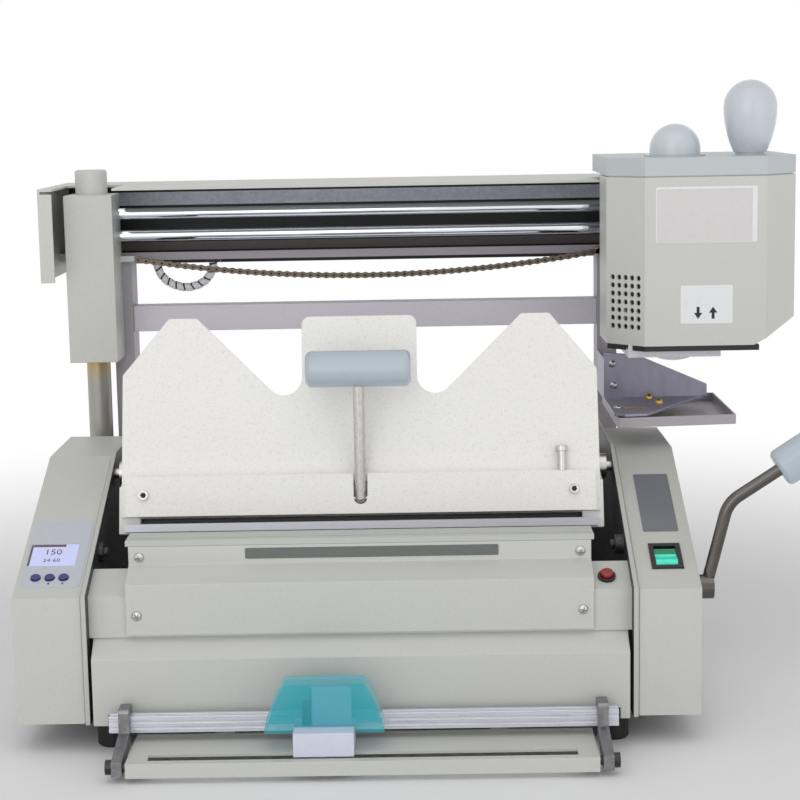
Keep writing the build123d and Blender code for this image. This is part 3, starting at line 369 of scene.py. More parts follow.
def reckon(tree, operation, first, second=0.0):
    return add(tree, "ShaderNodeMath", operation=operation, in_0=first, in_1=second), "Value"


def blend(tree, factor, first, second, mode="MIX"):
    return add(tree, "ShaderNodeMix", data_type="RGBA", blend_type=mode, in_Factor=factor, in_A=first,
               in_B=second), "Result"


def new_group(name, inputs, outputs):
    """A shader group with named sockets; returns the tree and its input and output nodes."""
    tree = bpy.data.node_groups.new(name, "ShaderNodeTree")
    for label, kind, value in inputs:
        socket = tree.interface.new_socket(label, in_out="INPUT", socket_type=kind)
        socket.default_value = value
    for label, kind in outputs:
        tree.interface.new_socket(label, in_out="OUTPUT", socket_type=kind)
    return tree, tree.nodes.new("NodeGroupInput"), tree.nodes.new("NodeGroupOutput")


FLOAT = "NodeSocketFloat"
COLOUR = "NodeSocketColor"
VECTOR = "NodeSocketVector"


def build_speckle_group():
    """Powder coat: fine darker specks, a soft drift of tone and a pebbled height."""
    tree, given, out = new_group(
        "powder_speckle",
        [("Base", COLOUR, (0.5, 0.5, 0.5, 1)), ("Speck", COLOUR, (0.4, 0.4, 0.4, 1)),
         ("Scale", FLOAT, 900.0), ("Amount", FLOAT, 0.3), ("Drift", FLOAT, 0.08)],
        [("Colour", COLOUR), ("Height", FLOAT), ("Roughness", FLOAT)])
    place = object_place(tree)
    fine = noise(tree, place, (given, "Scale"), 3.0, 0.6)
    amount = reckon(tree, "MULTIPLY", ramp(tree, fine, start=0.52, end=0.72), (given, "Amount"))
    mixed = blend(tree, amount, (given, "Base"), (given, "Speck"))
    darker = reckon(tree, "SUBTRACT", 1.0, (given, "Drift"))
    drift = ramp(tree, noise(tree, place, 9.0, 2.0), 1.0, darker)
    feed(tree, out, Colour=blend(tree, 1.0, mixed, drift, "MULTIPLY"), Height=fine,
         Roughness=ramp(tree, fine, 0.38, 0.52))
    return tree


def build_grain_group():
    """Brushed or drawn metal: long fine streaks along one axis."""
    tree, given, out = new_group(
        "drawn_grain",
        [("Stretch", VECTOR, (1, 40, 40)), ("Scale", FLOAT, 40.0), ("Base", COLOUR, (0.6, 0.6, 0.6, 1)),
         ("Contrast", FLOAT, 0.15), ("Rough Low", FLOAT, 0.2), ("Rough High", FLOAT, 0.4)],
        [("Colour", COLOUR), ("Height", FLOAT), ("Roughness", FLOAT)])
    stretch = add(tree, "ShaderNodeMapping", in_Vector=object_place(tree), in_Scale=(given, "Stretch"))
    streaks = noise(tree, (stretch, "Vector"), (given, "Scale"), 4.0, 0.65)
    darker = reckon(tree, "SUBTRACT", 1.0, (given, "Contrast"))
    tone = ramp(tree, streaks, darker, 1.0, 0.3, 0.7)
    feed(tree, out, Colour=blend(tree, 1.0, (given, "Base"), tone, "MULTIPLY"), Height=streaks,
         Roughness=ramp(tree, streaks, (given, "Rough Low"), (given, "Rough High"), 0.3, 0.7))
    return tree


def build_dust_group():
    """A thin film of settled dust on faces that look up, broken by soft noise."""
    tree, given, out = new_group(
        "settled_dust",
        [("Colour", COLOUR, (0.5, 0.5, 0.5, 1)), ("Dust", COLOUR, (0.55, 0.53, 0.5, 1)),
         ("Amount", FLOAT, 0.1)],
        [("Colour", COLOUR)])
    facing = add(tree, "ShaderNodeNewGeometry")
    upward = ramp(tree, part_of(tree, (facing, "Normal"), "Z"), start=0.3)
    patchy = reckon(tree, "MULTIPLY", upward, noise(tree, object_place(tree), 45.0, 5.0))
    amount = reckon(tree, "MULTIPLY", patchy, (given, "Amount"))
    feed(tree, out, Colour=blend(tree, amount, (given, "Colour"), (given, "Dust")))
    return tree


def use_group(tree, name, builder, **values):
    made = bpy.data.node_groups.get(name) or builder()
    return feed(tree, add(tree, "ShaderNodeGroup", node_tree=made), **values)


def speckle(tree, base, speck, scale, amount, drift):
    return use_group(tree, "powder_speckle", build_speckle_group, Base=base, Speck=four(speck), Scale=scale,
                     Amount=amount, Drift=drift)


def grain(tree, base, stretch, scale, contrast, rough):
    return use_group(tree, "drawn_grain", build_grain_group, Base=base, Stretch=stretch, Scale=scale,
                     Contrast=contrast, Rough_Low=rough[0], Rough_High=rough[1])


def four(colour):
    return (*colour[:3], 1.0)


def height_tone(tree, low, high, floor_z, top_z):
    """A colour that changes from low to high between two heights."""
    climb = ramp(tree, part_of(tree, object_place(tree), "Z"), start=floor_z * MM, end=top_z * MM)
    return blend(tree, climb, four(low), four(high))


def inner_tone(tree, inside, outside, reach):
    """One colour within a half width of the machine's middle and another beyond it."""
    shift = reckon(tree, "SUBTRACT", part_of(tree, object_place(tree), "X"), ORIGIN_SHIFT * MM)
    beyond = reckon(tree, "GREATER_THAN", reckon(tree, "ABSOLUTE", shift), reach * MM)
    return blend(tree, beyond, four(inside), four(outside))


def new_material(name, **plain):
    """A material with its Principled shader's plain values set; returns it, its tree and its shader."""
    material = bpy.data.materials.new(name)
    material.use_nodes = True
    tree = material.node_tree
    return material, tree, feed(tree, tree.nodes["Principled BSDF"], **plain)


def raise_height(tree, shader, height, strength, distance):
    bump = add(tree, "ShaderNodeBump", in_Strength=strength, in_Distance=distance, in_Height=height)
    feed(tree, shader, Normal=(bump, "Normal"))


def powder_coat(name, base, speck, scale, amount, drift, bump=0.12, inside=None, reach=0.0):
    """Powder coat under a film of dust, with another colour inside a half width where one is given."""
    material, tree, shader = new_material(name)
    tone = inner_tone(tree, inside, base, reach) if inside else four(base)
    coat = speckle(tree, tone, speck, scale, amount, drift)
    film = use_group(tree, "settled_dust", build_dust_group, Colour=(coat, "Colour"), Amount=DUST_SHARE)
    feed(tree, shader, Base_Color=(film, "Colour"), Roughness=(coat, "Roughness"))
    raise_height(tree, shader, (coat, "Height"), bump, POWDER_RELIEF)
    return material


def drawn_metal(name, base, stretch, scale, contrast, rough, bump=0.05, metallic=1.0):
    material, tree, shader = new_material(name, Metallic=metallic)
    coat = grain(tree, four(base), stretch, scale, contrast, rough)
    feed(tree, shader, Base_Color=(coat, "Colour"), Roughness=(coat, "Roughness"))
    raise_height(tree, shader, (coat, "Height"), bump, METAL_RELIEF)
    return material


def moulded(name, base, roughness=0.35, clear=0.0, mottle=0.06, scale=60.0, bump=0.05, low=None, edge=0.0):
    """Moulded plastic or rubber: a soft mottle, a faint height, and another colour below an edge."""
    material, tree, shader = new_material(name, Coat_Weight=clear, Coat_Roughness=0.08)
    tone = height_tone(tree, low, base, edge, edge + 0.2) if low else four(base)
    coat = speckle(tree, tone, shade(base, 0.86), scale, 0.35, mottle)
    feed(tree, shader, Base_Color=(coat, "Colour"),
         Roughness=ramp(tree, (coat, "Height"), roughness - 0.05, roughness + 0.07))
    raise_height(tree, shader, (coat, "Height"), bump, MOULD_RELIEF)
    return material


def galvanised(name, base, dark):
    """Zinc-coated sheet: small flat crystals of two tones."""
    material, tree, shader = new_material(name, Metallic=0.15)
    crystals = add(tree, "ShaderNodeTexVoronoi", in_Vector=object_place(tree), in_Scale=420.0)
    tone = add(tree, "ShaderNodeSeparateColor", in_Color=(crystals, "Color"))
    feed(tree, shader, Base_Color=blend(tree, (tone, "Red"), four(base), four(dark)),
         Roughness=ramp(tree, (tone, "Green"), 0.32, 0.55))
    return material


def post_metal(name, low, high, floor_z, top_z):
    """Passivated post: grey at the foot and golden tan under the tower."""
    material, tree, shader = new_material(name, Metallic=0.6)
    coat = grain(tree, height_tone(tree, low, high, floor_z, top_z), (30, 30, 1), 25.0, 0.14, (0.34, 0.5))
    feed(tree, shader, Base_Color=(coat, "Colour"), Roughness=(coat, "Roughness"))
    return material


def tinted_clear(name, colour):
    """Tinted see-through moulding: each wall lets most light by, and less of it at its rims."""
    material, tree, shader = new_material(name, Coat_Weight=0.6, Coat_Roughness=0.05)
    rim = add(tree, "ShaderNodeLayerWeight", in_Blend=0.35)
    coat = speckle(tree, four(colour), shade(colour, 0.9), 40.0, 0.3, 0.03)
    feed(tree, shader, Alpha=ramp(tree, (rim, "Facing"), 0.34, 0.8), Base_Color=(coat, "Colour"),
         Roughness=ramp(tree, (coat, "Height"), 0.06, 0.14))
    return material


def lit_face(name, colour, glow, low=None, edge=0.0):
    """A lit panel: its colour also shines a little, in another colour below an edge."""
    material, tree, shader = new_material(name, Roughness=0.2, Emission_Strength=glow, Coat_Weight=0.5)
    tone = height_tone(tree, low, colour, edge, edge + 0.4) if low else four(colour)
    coat = speckle(tree, tone, shade(colour, 0.93), 260.0, 0.3, 0.05)
    feed(tree, shader, Base_Color=(coat, "Colour"), Emission_Color=(coat, "Colour"))
    return material


def glue_film(name, colour):
    """Old hot melt glue: amber, uneven and half gloss."""
    material, tree, shader = new_material(name, Subsurface_Weight=0.15, Subsurface_Scale=0.003)
    coat = speckle(tree, four(colour), shade(colour, 0.55), 130.0, 0.8, 0.2)
    feed(tree, shader, Base_Color=(coat, "Colour"), Roughness=ramp(tree, (coat, "Height"), 0.2, 0.5))
    raise_height(tree, shader, (coat, "Height"), 0.5, GLUE_RELIEF)
    return material


# Sizes and colours that a user would change

def colour_setting(name, description, red, green, blue):
    return FloatVectorProperty(name=name, description=description, size=3, subtype="COLOR", min=0.0, max=1.0,
                               default=linear(red, green, blue))


def length_setting(name, description, millimetres):
    return FloatProperty(name=name, description=description, default=millimetres * MM, min=0.0,
                         subtype="DISTANCE", unit="LENGTH", precision=5)


class BinderFinish(bpy.types.PropertyGroup):
    """Colours of the finishes."""
    body: colour_setting("Body", "Powder coat of the consoles, covers, tower and glue pot", 212, 213, 208)
    cheek: colour_setting("Cheeks", "Paint of the two side frames and the clamp table", 202, 204, 199)
    rest_plate: colour_setting("Rest plate", "Speckled coat of the clamp plate and bar", 249, 248, 244)
    lid: colour_setting("Pot lid", "Paint of the glue pot's lid", 199, 206, 209)
    frame_grey: colour_setting("Frame grey", "Violet-grey paint of the drip tray and uprights", 182, 177, 184)
    # Painted light: a paler copy of the frame grey, so the cross bar in the beam's shade looks lit
    bar_grey: colour_setting("Bar grey", "Violet-grey paint of the cross bar", 232, 226, 236)
    # Painted light: near white, far paler than the strip's own blue-grey, so the strip under the beam's top
    # looks lit
    sheet_zinc: colour_setting("Zinc sheet", "Galvanised strip in the beam", 236, 240, 255)
    sheet_dark: colour_setting("Dark strip", "Lower strip in the beam", 128, 120, 117)
    bracket: colour_setting("Bracket", "Blue-grey metal of the drip bracket", 180, 178, 194)
    knob: colour_setting("Grips", "Moulded grips of the handle and lever", 188, 199, 209)
    pot_knob: colour_setting("Pot knobs", "Moulded knobs on the glue pot", 208, 215, 222)
    # Matt black of real parts, also used as painted shade in the jaw gap, behind the vents and on the cheeks'
    # inner faces
    shell_black: colour_setting("Black steel", "Matt black of the beam's inside", 26, 26, 29)
    rubber: colour_setting("Rubber", "Feet and black mouldings", 16, 16, 17)
    aluminium: colour_setting("Aluminium", "Extruded rail and jaw strip", 232, 233, 242)
    zinc: colour_setting("Zinc", "Plated rods, screws and discs", 205, 203, 200)
    chrome: colour_setting("Chrome", "Guide rods", 232, 236, 242)
    lever_chrome: colour_setting("Lever chrome", "Bent rod of the side lever", 104, 101, 98)
    arm_steel: colour_setting("Trimmer arms", "Hooked arms of the trimmer", 150, 150, 153)
    cast: colour_setting("Cast metal", "Glue tank, rollers and bearing block", 202, 202, 206)
    chain: colour_setting("Chain", "Oiled roller chain", 120, 108, 96)
    post_low: colour_setting("Post foot", "Lower end of the tower post", 170, 169, 162)
    post_high: colour_setting("Post top", "Upper end of the tower post", 196, 172, 118)
    cover_tint: colour_setting("Cutter cover", "See-through cover of the cutter head", 0, 206, 222)
    pale_moulding: colour_setting("Cutter block", "Pale moulding of the cutter head", 224, 227, 244)
    green: colour_setting("Power rocker", "Upper half of the rocker switch", 0, 122, 84)
    green_lit: colour_setting("Lit rocker", "Lower, lit half of the rocker switch", 74, 236, 204)
    navy: colour_setting("Panel buttons", "Round push buttons", 24, 42, 118)
    red: colour_setting("Red button", "Push button on the front cover", 150, 12, 16)
    screen: colour_setting("Display", "Pale field of the display", 190, 196, 236)
    screen_band: colour_setting("Display band", "Dark band and digits of the display", 92, 34, 46)
    name_strip: colour_setting("Name strip", "Bare strip on the centre cover", 112, 117, 116)
    nameplate: colour_setting("Nameplate", "Bare plate on the right console", 134, 135, 143)
    label: colour_setting("Labels", "White label film", 240, 241, 242)
    plate_field: colour_setting("Pot plate", "Grey field of the upper plate on the pot", 222, 219, 219)
    label_tint: colour_setting("Console label", "Bare label round the display and buttons", 204, 208, 216)
    circuit: colour_setting("Circuit board", "Board behind the display", 20, 80, 42)
    glue: colour_setting("Old glue", "Glue left on the drip parts", 196, 160, 84)
    spiral: colour_setting("Spiral wrap", "Wrap of the sensor lead", 250, 250, 253)


class BinderSizes(bpy.types.PropertyGroup):
    """Sizes of the small parts."""
    fold: length_setting("Fold radius", "Rounding of sheet-metal folds", 0.6)
    label_thick: length_setting("Label thickness", "Thickness of labels and strips", 0.25)
    screw_radius: length_setting("Screw head radius", "Pan heads on the covers", 3.5)
    screw_tall: length_setting("Screw head height", "Pan heads on the covers", 2.6)
    chain_pitch: length_setting("Chain pitch", "Distance between chain pins", 6.35)
    chain_sag: length_setting("Chain sag", "Drop of the chain at its middle", 16.0)
    lead_thick: length_setting("Lead thickness", "Outer diameter of the wrapped lead", 7.0)
    wrap_turns: IntProperty(name="Wrap turns", description="Turns of the spiral wrap along the lead",
                            default=11, min=4, max=40)


def power_setting(name, description, watts):
    return FloatProperty(name=name, description=description, default=watts, min=0.0, unit="POWER",
                         subtype="POWER")


class BinderStage(bpy.types.PropertyGroup):
    """Camera and light."""
    lens: FloatProperty(name="Lens", description="Focal length on a 36 mm sensor", default=85.5, min=20.0,
                        max=300.0, subtype="DISTANCE_CAMERA", unit="CAMERA")
    key_power: power_setting("Key light", "Power of the large front light", 3.9)
    fill_power: power_setting("Fill light", "Power of the right-hand light", 1.6)
    top_power: power_setting("Top light", "Power of the overhead light", 3.1)
    ambient: FloatProperty(name="Ambient", description="Strength of the surrounding white", default=0.5,
                           min=0.0, max=5.0, subtype="FACTOR")
    floor: colour_setting("Floor", "Plain pale floor", 249, 249, 250)


# A finish's maker and its facts. A text is a colour setting; a text and a number are a shade of it.
FINISHES = {
    "body_paint": (powder_coat, "body", ("body", 0.82), 700, 0.4, 0.04),
    "cheek_paint": (powder_coat, "cheek", ("cheek", 0.84), 700, 0.35, 0.05),
    # The cheeks' faces within 186.4 mm of the middle are painted black: painted shade
    "cheek_lined": (powder_coat, "cheek", ("cheek", 0.84), 700, 0.35, 0.05, 0.12, "shell_black", 186.4),
    "plate_paint": (powder_coat, "rest_plate", ("rest_plate", 0.72), 620, 0.5, 0.05, 0.3),
    "lid_paint": (powder_coat, "lid", ("lid", 0.88), 500, 0.3, 0.05),
    "frame_paint": (powder_coat, "frame_grey", ("frame_grey", 0.8), 600, 0.4, 0.1),
    # The cross bar's paler copy of the frame paint is painted light
    "bar_paint": (powder_coat, "bar_grey", ("bar_grey", 0.8), 600, 0.4, 0.1),
    # Matt black of real parts, and painted shade in the jaw gap and behind the vents
    "black_steel": (powder_coat, "shell_black", ("shell_black", 2.2), 500, 0.4, 0.2),
    "circuit": (powder_coat, "circuit", ("circuit", 1.8), 250, 0.5, 0.1),
    "bracket_metal": (drawn_metal, "bracket", (8, 30, 3), 14, 0.3, (0.34, 0.55), 0.12, 0.55),
    "aluminium": (drawn_metal, "aluminium", (1, 60, 60), 22, 0.1, (0.24, 0.4), 0.05, 0.6),
    "strip_alloy": (drawn_metal, ("aluminium", 0.6), (1, 60, 60), 22, 0.12, (0.3, 0.45), 0.05, 0.5),
    "zinc": (drawn_metal, "zinc", (6, 6, 6), 60, 0.2, (0.22, 0.4)),
    "brass": (drawn_metal, linear(206, 170, 96), (6, 6, 6), 60, 0.2, (0.25, 0.4)),
    "chrome": (drawn_metal, "chrome", (1, 30, 30), 12, 0.06, (0.05, 0.12), 0.01),
    "lever_chrome": (drawn_metal, "lever_chrome", (3, 30, 3), 18, 0.2, (0.1, 0.2), 0.02),
    "arm_steel": (drawn_metal, "arm_steel", (8, 3, 8), 50, 0.35, (0.3, 0.5), 0.1),
    "cast_metal": (drawn_metal, "cast", (5, 5, 5), 90, 0.3, (0.35, 0.6), 0.35),
    "chain_steel": (drawn_metal, "chain", (20, 20, 20), 60, 0.4, (0.25, 0.5), 0.1, 0.8),
    "dark_strip": (drawn_metal, "sheet_dark", (1, 40, 40), 30, 0.12, (0.4, 0.55), 0.02, 0.2),
    "strip_grey": (drawn_metal, "name_strip", (1, 40, 40), 30, 0.1, (0.35, 0.5), 0.02, 0.3),
    "nameplate_grey": (drawn_metal, "nameplate", (1, 40, 40), 30, 0.1, (0.35, 0.5), 0.02, 0.3),
    "galvanised": (galvanised, "sheet_zinc", ("sheet_zinc", 0.85)),
    "post_metal": (post_metal, "post_low", "post_high", 218, 236),
    "rubber": (moulded, "rubber", 0.62, 0.0, 0.2, 220, 0.15),
    "black_moulding": (moulded, "rubber", 0.34, 0.2, 0.1, 160),
    "knob_moulding": (moulded, "knob", 0.24, 0.35, 0.05, 30, 0.03),
    "pot_moulding": (moulded, "pot_knob", 0.24, 0.35, 0.05, 30, 0.03, "lid", 397.1),
    "pale_moulding": (moulded, "pale_moulding", 0.4, 0.0, 0.06, 120),
    "navy_moulding": (moulded, "navy", 0.3, 0.2),
    "red_moulding": (moulded, "red", 0.25, 0.4),
    "brown_sleeve": (moulded, linear(120, 66, 52), 0.35, 0.1),
    "label_film": (moulded, "label", 0.32, 0.1, 0.03, 200, 0.02),
    "plate_field": (moulded, "plate_field", 0.36, 0.1, 0.04, 200, 0.02),
    "label_tint": (moulded, "label_tint", 0.36, 0.1, 0.03, 200, 0.02),
    "label_ink": (moulded, ("rubber", 1.2), 0.4),
    "spiral_wrap": (moulded, "spiral", 0.34, 0.1, 0.06, 300, 0.05),
    "clear_teal": (tinted_clear, "cover_tint"),
    "green_lens": (lit_face, "green", 0.25, "green_lit", 124.4),
    "screen": (lit_face, "screen", 0.35),
    "screen_ink": (lit_face, "screen_band", 0.1),
    "old_glue": (glue_film, "glue"),
}


def looked_up(fact):
    """A fact with its colour setting put in; a plain value stays as it is."""
    tint = bpy.context.scene.binder_finish
    if isinstance(fact, str):
        return getattr(tint, fact)
    if isinstance(fact, tuple) and isinstance(fact[0], str):
        return shade(getattr(tint, fact[0]), fact[1])
    return fact


def coat_of(finish):
    """The material of a finish, made from the colour settings when it is first asked for."""
    key = "finish_" + finish
    maker, *facts = FINISHES[finish]
    return bpy.data.materials.get(key) or maker(key, *(looked_up(fact) for fact in facts))


def dress(finish, *nodes):
    """Gives CAD nodes a finish in place of their plain one."""
    for node in nodes:
        for place in frame["nodes"][node].material_slots:
            place.material = coat_of(finish)


def new_modifier_tree(name, inputs):
    """A geometry group with named inputs, a geometry and a material; returns it with its end nodes."""
    tree = bpy.data.node_groups.new(name, "GeometryNodeTree")
    tree.interface.new_socket("Geometry", in_out="INPUT", socket_type="NodeSocketGeometry")
    for label, kind in inputs:
        tree.interface.new_socket(label, in_out="INPUT", socket_type=kind)
    tree.interface.new_socket("Coat", in_out="INPUT", socket_type="NodeSocketMaterial")
    tree.interface.new_socket("Geometry", in_out="OUTPUT", socket_type="NodeSocketGeometry")
    return tree, tree.nodes.new("NodeGroupInput"), tree.nodes.new("NodeGroupOutput")


def end_with_coat(tree, instances, given, out):
    """Ends a geometry group: its instances made real, in the material given."""
    real = add(tree, "GeometryNodeRealizeInstances", in_Geometry=instances)
    coat = add(tree, "GeometryNodeSetMaterial", in_Geometry=(real, "Geometry"), in_Material=(given, "Coat"))
    feed(tree, out, Geometry=(coat, "Geometry"))


def run_geometry(name, holder, tree, values):
    """Runs a geometry group on an object with its inputs set by identifier, and returns the plain mesh."""
    modifier = holder.modifiers.new(name, "NODES")
    modifier.node_group = tree
    for socket in tree.interface.items_tree:
        if socket.in_out == "INPUT" and socket.name in values:
            modifier[socket.identifier] = values[socket.name]
    return evaluated_mesh(holder)


# Pieces

CAMERA_PLACE = (42, -1400, 437)
CAMERA_TURNS = (("Z", 0.54), ("X", 81.17), ("Z", -1.04))
LIGHT_AIM = (30, 20, 200)
FLOOR_REACH = 8.0
# The floor's colour gives way to white between these distances from the machine, in metres
FLOOR_FADE = (0.36, 1.2)


class BINDER_OT_stage(bpy.types.Operator):
    """Camera at the photo's angle, soft lights, pale floor and white surroundings"""
    bl_idname = "binder.stage"
    bl_label = "Stage"

    def execute(self, context):
        scene = context.scene
        look = scene.binder_stage
        camera_data = bpy.data.cameras.new("camera")
        camera_data.lens = look.lens
        camera_data.sensor_width = 36
        camera_data.clip_end = 30
        camera = object_for("camera", camera_data)
        turns = [Matrix.Rotation(math.radians(turn), 4, axis) for axis, turn in CAMERA_TURNS]
        tilt = turns[0] @ turns[1] @ turns[2]
        camera.matrix_world = Matrix.Translation(at(*CAMERA_PLACE)) @ tilt
        scene.camera = camera
        for name, place, wide, power in (("key", (-480, -1500, 650), 1.1, look.key_power),
                                         ("fill", (1050, -1250, 520), 1.0, look.fill_power),
                                         ("top", (60, -650, 1450), 1.4, look.top_power)):
            light_data = bpy.data.lights.new(name, "AREA")
            light_data.shape = "SQUARE"
            light_data.size = wide
            light_data.energy = power
            light = object_for(name, light_data)
            light.location = at(*place)
            light.rotation_euler = (at(*LIGHT_AIM) - light.location).to_track_quat("-Z", "Y").to_euler()
        floor_mesh = bpy.data.meshes.new("floor")
        corners = [(x * FLOOR_REACH, y * FLOOR_REACH, 0) for x, y in ((-1, -1), (1, -1), (1, 1), (-1, 1))]
        floor_mesh.from_pydata(corners, [], [(0, 1, 2, 3)])
        floor_mesh.materials.append(self.floor_material(look.floor))
        floor = object_for("floor", floor_mesh)
        scene.world = self.surroundings(look.ambient)
        scene.view_settings.view_transform = "Standard"
        return {"FINISHED"}

    def floor_material(self, colour):
        material, tree, shader = new_material("floor", Roughness=0.6, Base_Color=four(colour))
        away = add(tree, "ShaderNodeVectorMath", operation="LENGTH", in_0=object_place(tree))
        fade = add(tree, "ShaderNodeMapRange", interpolation_type="SMOOTHSTEP", in_Value=(away, "Value"),
                   in_From_Min=FLOOR_FADE[0], in_From_Max=FLOOR_FADE[1])
        white = add(tree, "ShaderNodeEmission", in_Color=(1, 1, 1, 1))
        both = add(tree, "ShaderNodeMixShader", in_Fac=(fade, "Result"), in_1=(shader, "BSDF"),
                   in_2=(white, "Emission"))
        feed(tree, tree.nodes["Material Output"], Surface=(both, "Shader"))
        return material

    def surroundings(self, ambient):
        """A white world, at full strength where it is seen, mirrored or looked at through a clear part."""
        world = bpy.data.worlds.new("surroundings")
        world.use_nodes = True
        tree = world.node_tree
        rays = add(tree, "ShaderNodeLightPath")
        mirrored = reckon(tree, "MAXIMUM", (rays, "Is Glossy Ray"), (rays, "Is Transmission Ray"))
        seen = reckon(tree, "MAXIMUM", (rays, "Is Camera Ray"), mirrored)
        feed(tree, tree.nodes["Background"], Color=(1, 1, 1, 1), Strength=ramp(tree, seen, ambient, 1.0))
        return world


LEAD_Y = 170.0
LEAD_ROUTE = ((-172, 315), (-172, 300), (-148, 288), (-125, 299), (-125, 315))
LEAD_STEPS = 220
LEAD_SIDES = 18
# Distances from the wrap's seam, in turns: the bare lead, its dark colour, and the wrap's thin edge
BARE_TO, DARK_TO, EDGE_TO = 0.08, 0.1, 0.14


def wrap_reach(seam):
    """The share of the lead's radius at a distance from the wrap's seam."""
    return 1.0 if seam > EDGE_TO else 0.78 if seam < BARE_TO else 0.94


class BINDER_OT_lead(bpy.types.Operator):
    """Spiral-wrapped sensor lead that droops under the beam"""
    bl_idname = "binder.lead"
    bl_label = "Wrapped lead"

    def execute(self, context):
        sizes = context.scene.binder_sizes
        curve = bpy.data.curves.new("lead_way", "CURVE")
        curve.dimensions = "3D"
        curve.resolution_u = 24
        spline = add_spline(curve, "NURBS", [at(x, LEAD_Y, z) for x, z in LEAD_ROUTE])
        spline.order_u = 3
        spline.use_endpoint_u = True
        way = [vertex.co.copy() for vertex in evaluated_mesh(object_for("lead_way", curve)).vertices]
        path = resample(way, LEAD_STEPS)
        work = bmesh.new()
        rings = []
        seams = []
        out = Vector((0, 1, 0))
        for index, place in enumerate(path):
            along = (path[min(index + 1, LEAD_STEPS)] - path[max(index - 1, 0)]).normalized()
            side = along.cross(out).normalized()
            ring = []
            for step in range(LEAD_SIDES):
                turn = step / LEAD_SIDES
                phase = (index / LEAD_STEPS * sizes.wrap_turns + turn) % 1.0
                seam = min(phase, 1.0 - phase)
                seams.append(seam < DARK_TO)
                angle = 2 * math.pi * turn
                spoke = side * math.cos(angle) + out * math.sin(angle)
                ring.append(work.verts.new(place + spoke * (sizes.lead_thick / 2 * wrap_reach(seam))))
            rings.append(ring)
        bridge(work, rings, LEAD_SIDES)
        work.faces.new(rings[0][::-1])
        work.faces.new(rings[-1])
        mesh = mesh_from(work, "spiral_lead")
        piece = piece_from("spiral_lead", mesh, "spiral_wrap", "body_frame", "lead_wrap", 60)
        mesh.materials.append(coat_of("rubber"))
        for face, in_seam in zip(mesh.polygons, seams[:LEAD_STEPS * LEAD_SIDES]):
            face.material_index = int(in_seam)
        clip = box_mesh(-131, -119, 165.5, 174.5, 311.5, 315, 0.4)
        piece_from("lead_clip", clip, "black_moulding", "body_frame", "black_plastic")
        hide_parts("wrapped_lead")
        return {"FINISHED"}


def resample(points, steps):
    """Evenly spaced points along a line of points."""
    reach = [0.0]
    for before, after in zip(points, points[1:]):
        reach.append(reach[-1] + (after - before).length)
    spaced = []
    place = 0
    for step in range(steps + 1):
        want = reach[-1] * step / steps
        while place < len(reach) - 2 and reach[place + 1] < want:
            place += 1
        share = (want - reach[place]) / max(reach[place + 1] - reach[place], 1e-12)
        spaced.append(points[place].lerp(points[place + 1], min(share, 1.0)))
    return spaced


CHAIN_Y = 139.0
CHAIN_ENDS = ((-185.5, 317.0), (188.0, 317.0))
CHAIN_POINTS = 64
PLATE_GAUGE = 0.7
PLATE_ROUND = 2.4
PLATE_TALL = 2.5
PLATE_WAIST = 1.6
# Half the distance between a link's plates, and the radius of its pins or rollers
OUTER_LINK = (1.65, 0.9)
INNER_LINK = (0.9, 1.7)


def chain_link_mesh(pitch, spread, roller):
    """A link about its middle, along local X: two waisted plates, and rollers when it is an inner one."""
    work = bmesh.new()
    half = pitch / 2
    outline = []
    for end in (1, -1):
        for step in range(7):
            turn = math.radians(-90 + 180 * step / 6)
            outline.append((end * (half + PLATE_ROUND * math.cos(turn)), end * PLATE_TALL * math.sin(turn)))
        outline.append((0, end * PLATE_WAIST))
    for y in (spread, -spread):
        faces = []
        for shift in (y - PLATE_GAUGE / 2, y + PLATE_GAUGE / 2):
            faces.append([work.verts.new((x * MM, shift * MM, z * MM)) for x, z in outline])
        work.faces.new(faces[0])
        work.faces.new(faces[1][::-1])
        for step in range(len(outline)):
            after = (step + 1) % len(outline)
            work.faces.new((faces[0][step], faces[1][step], faces[1][after], faces[0][after]))
    for end in (-half, half):
        place = Matrix.Translation((end * MM, 0, 0)) @ Matrix.Rotation(math.radians(90), 4, "X")
        bmesh.ops.create_cone(work, cap_ends=True, segments=8, radius1=roller * MM, radius2=roller * MM,
                              depth=(2 * spread + PLATE_GAUGE) * MM, matrix=place)
    return mesh_from(work, "chain_link")


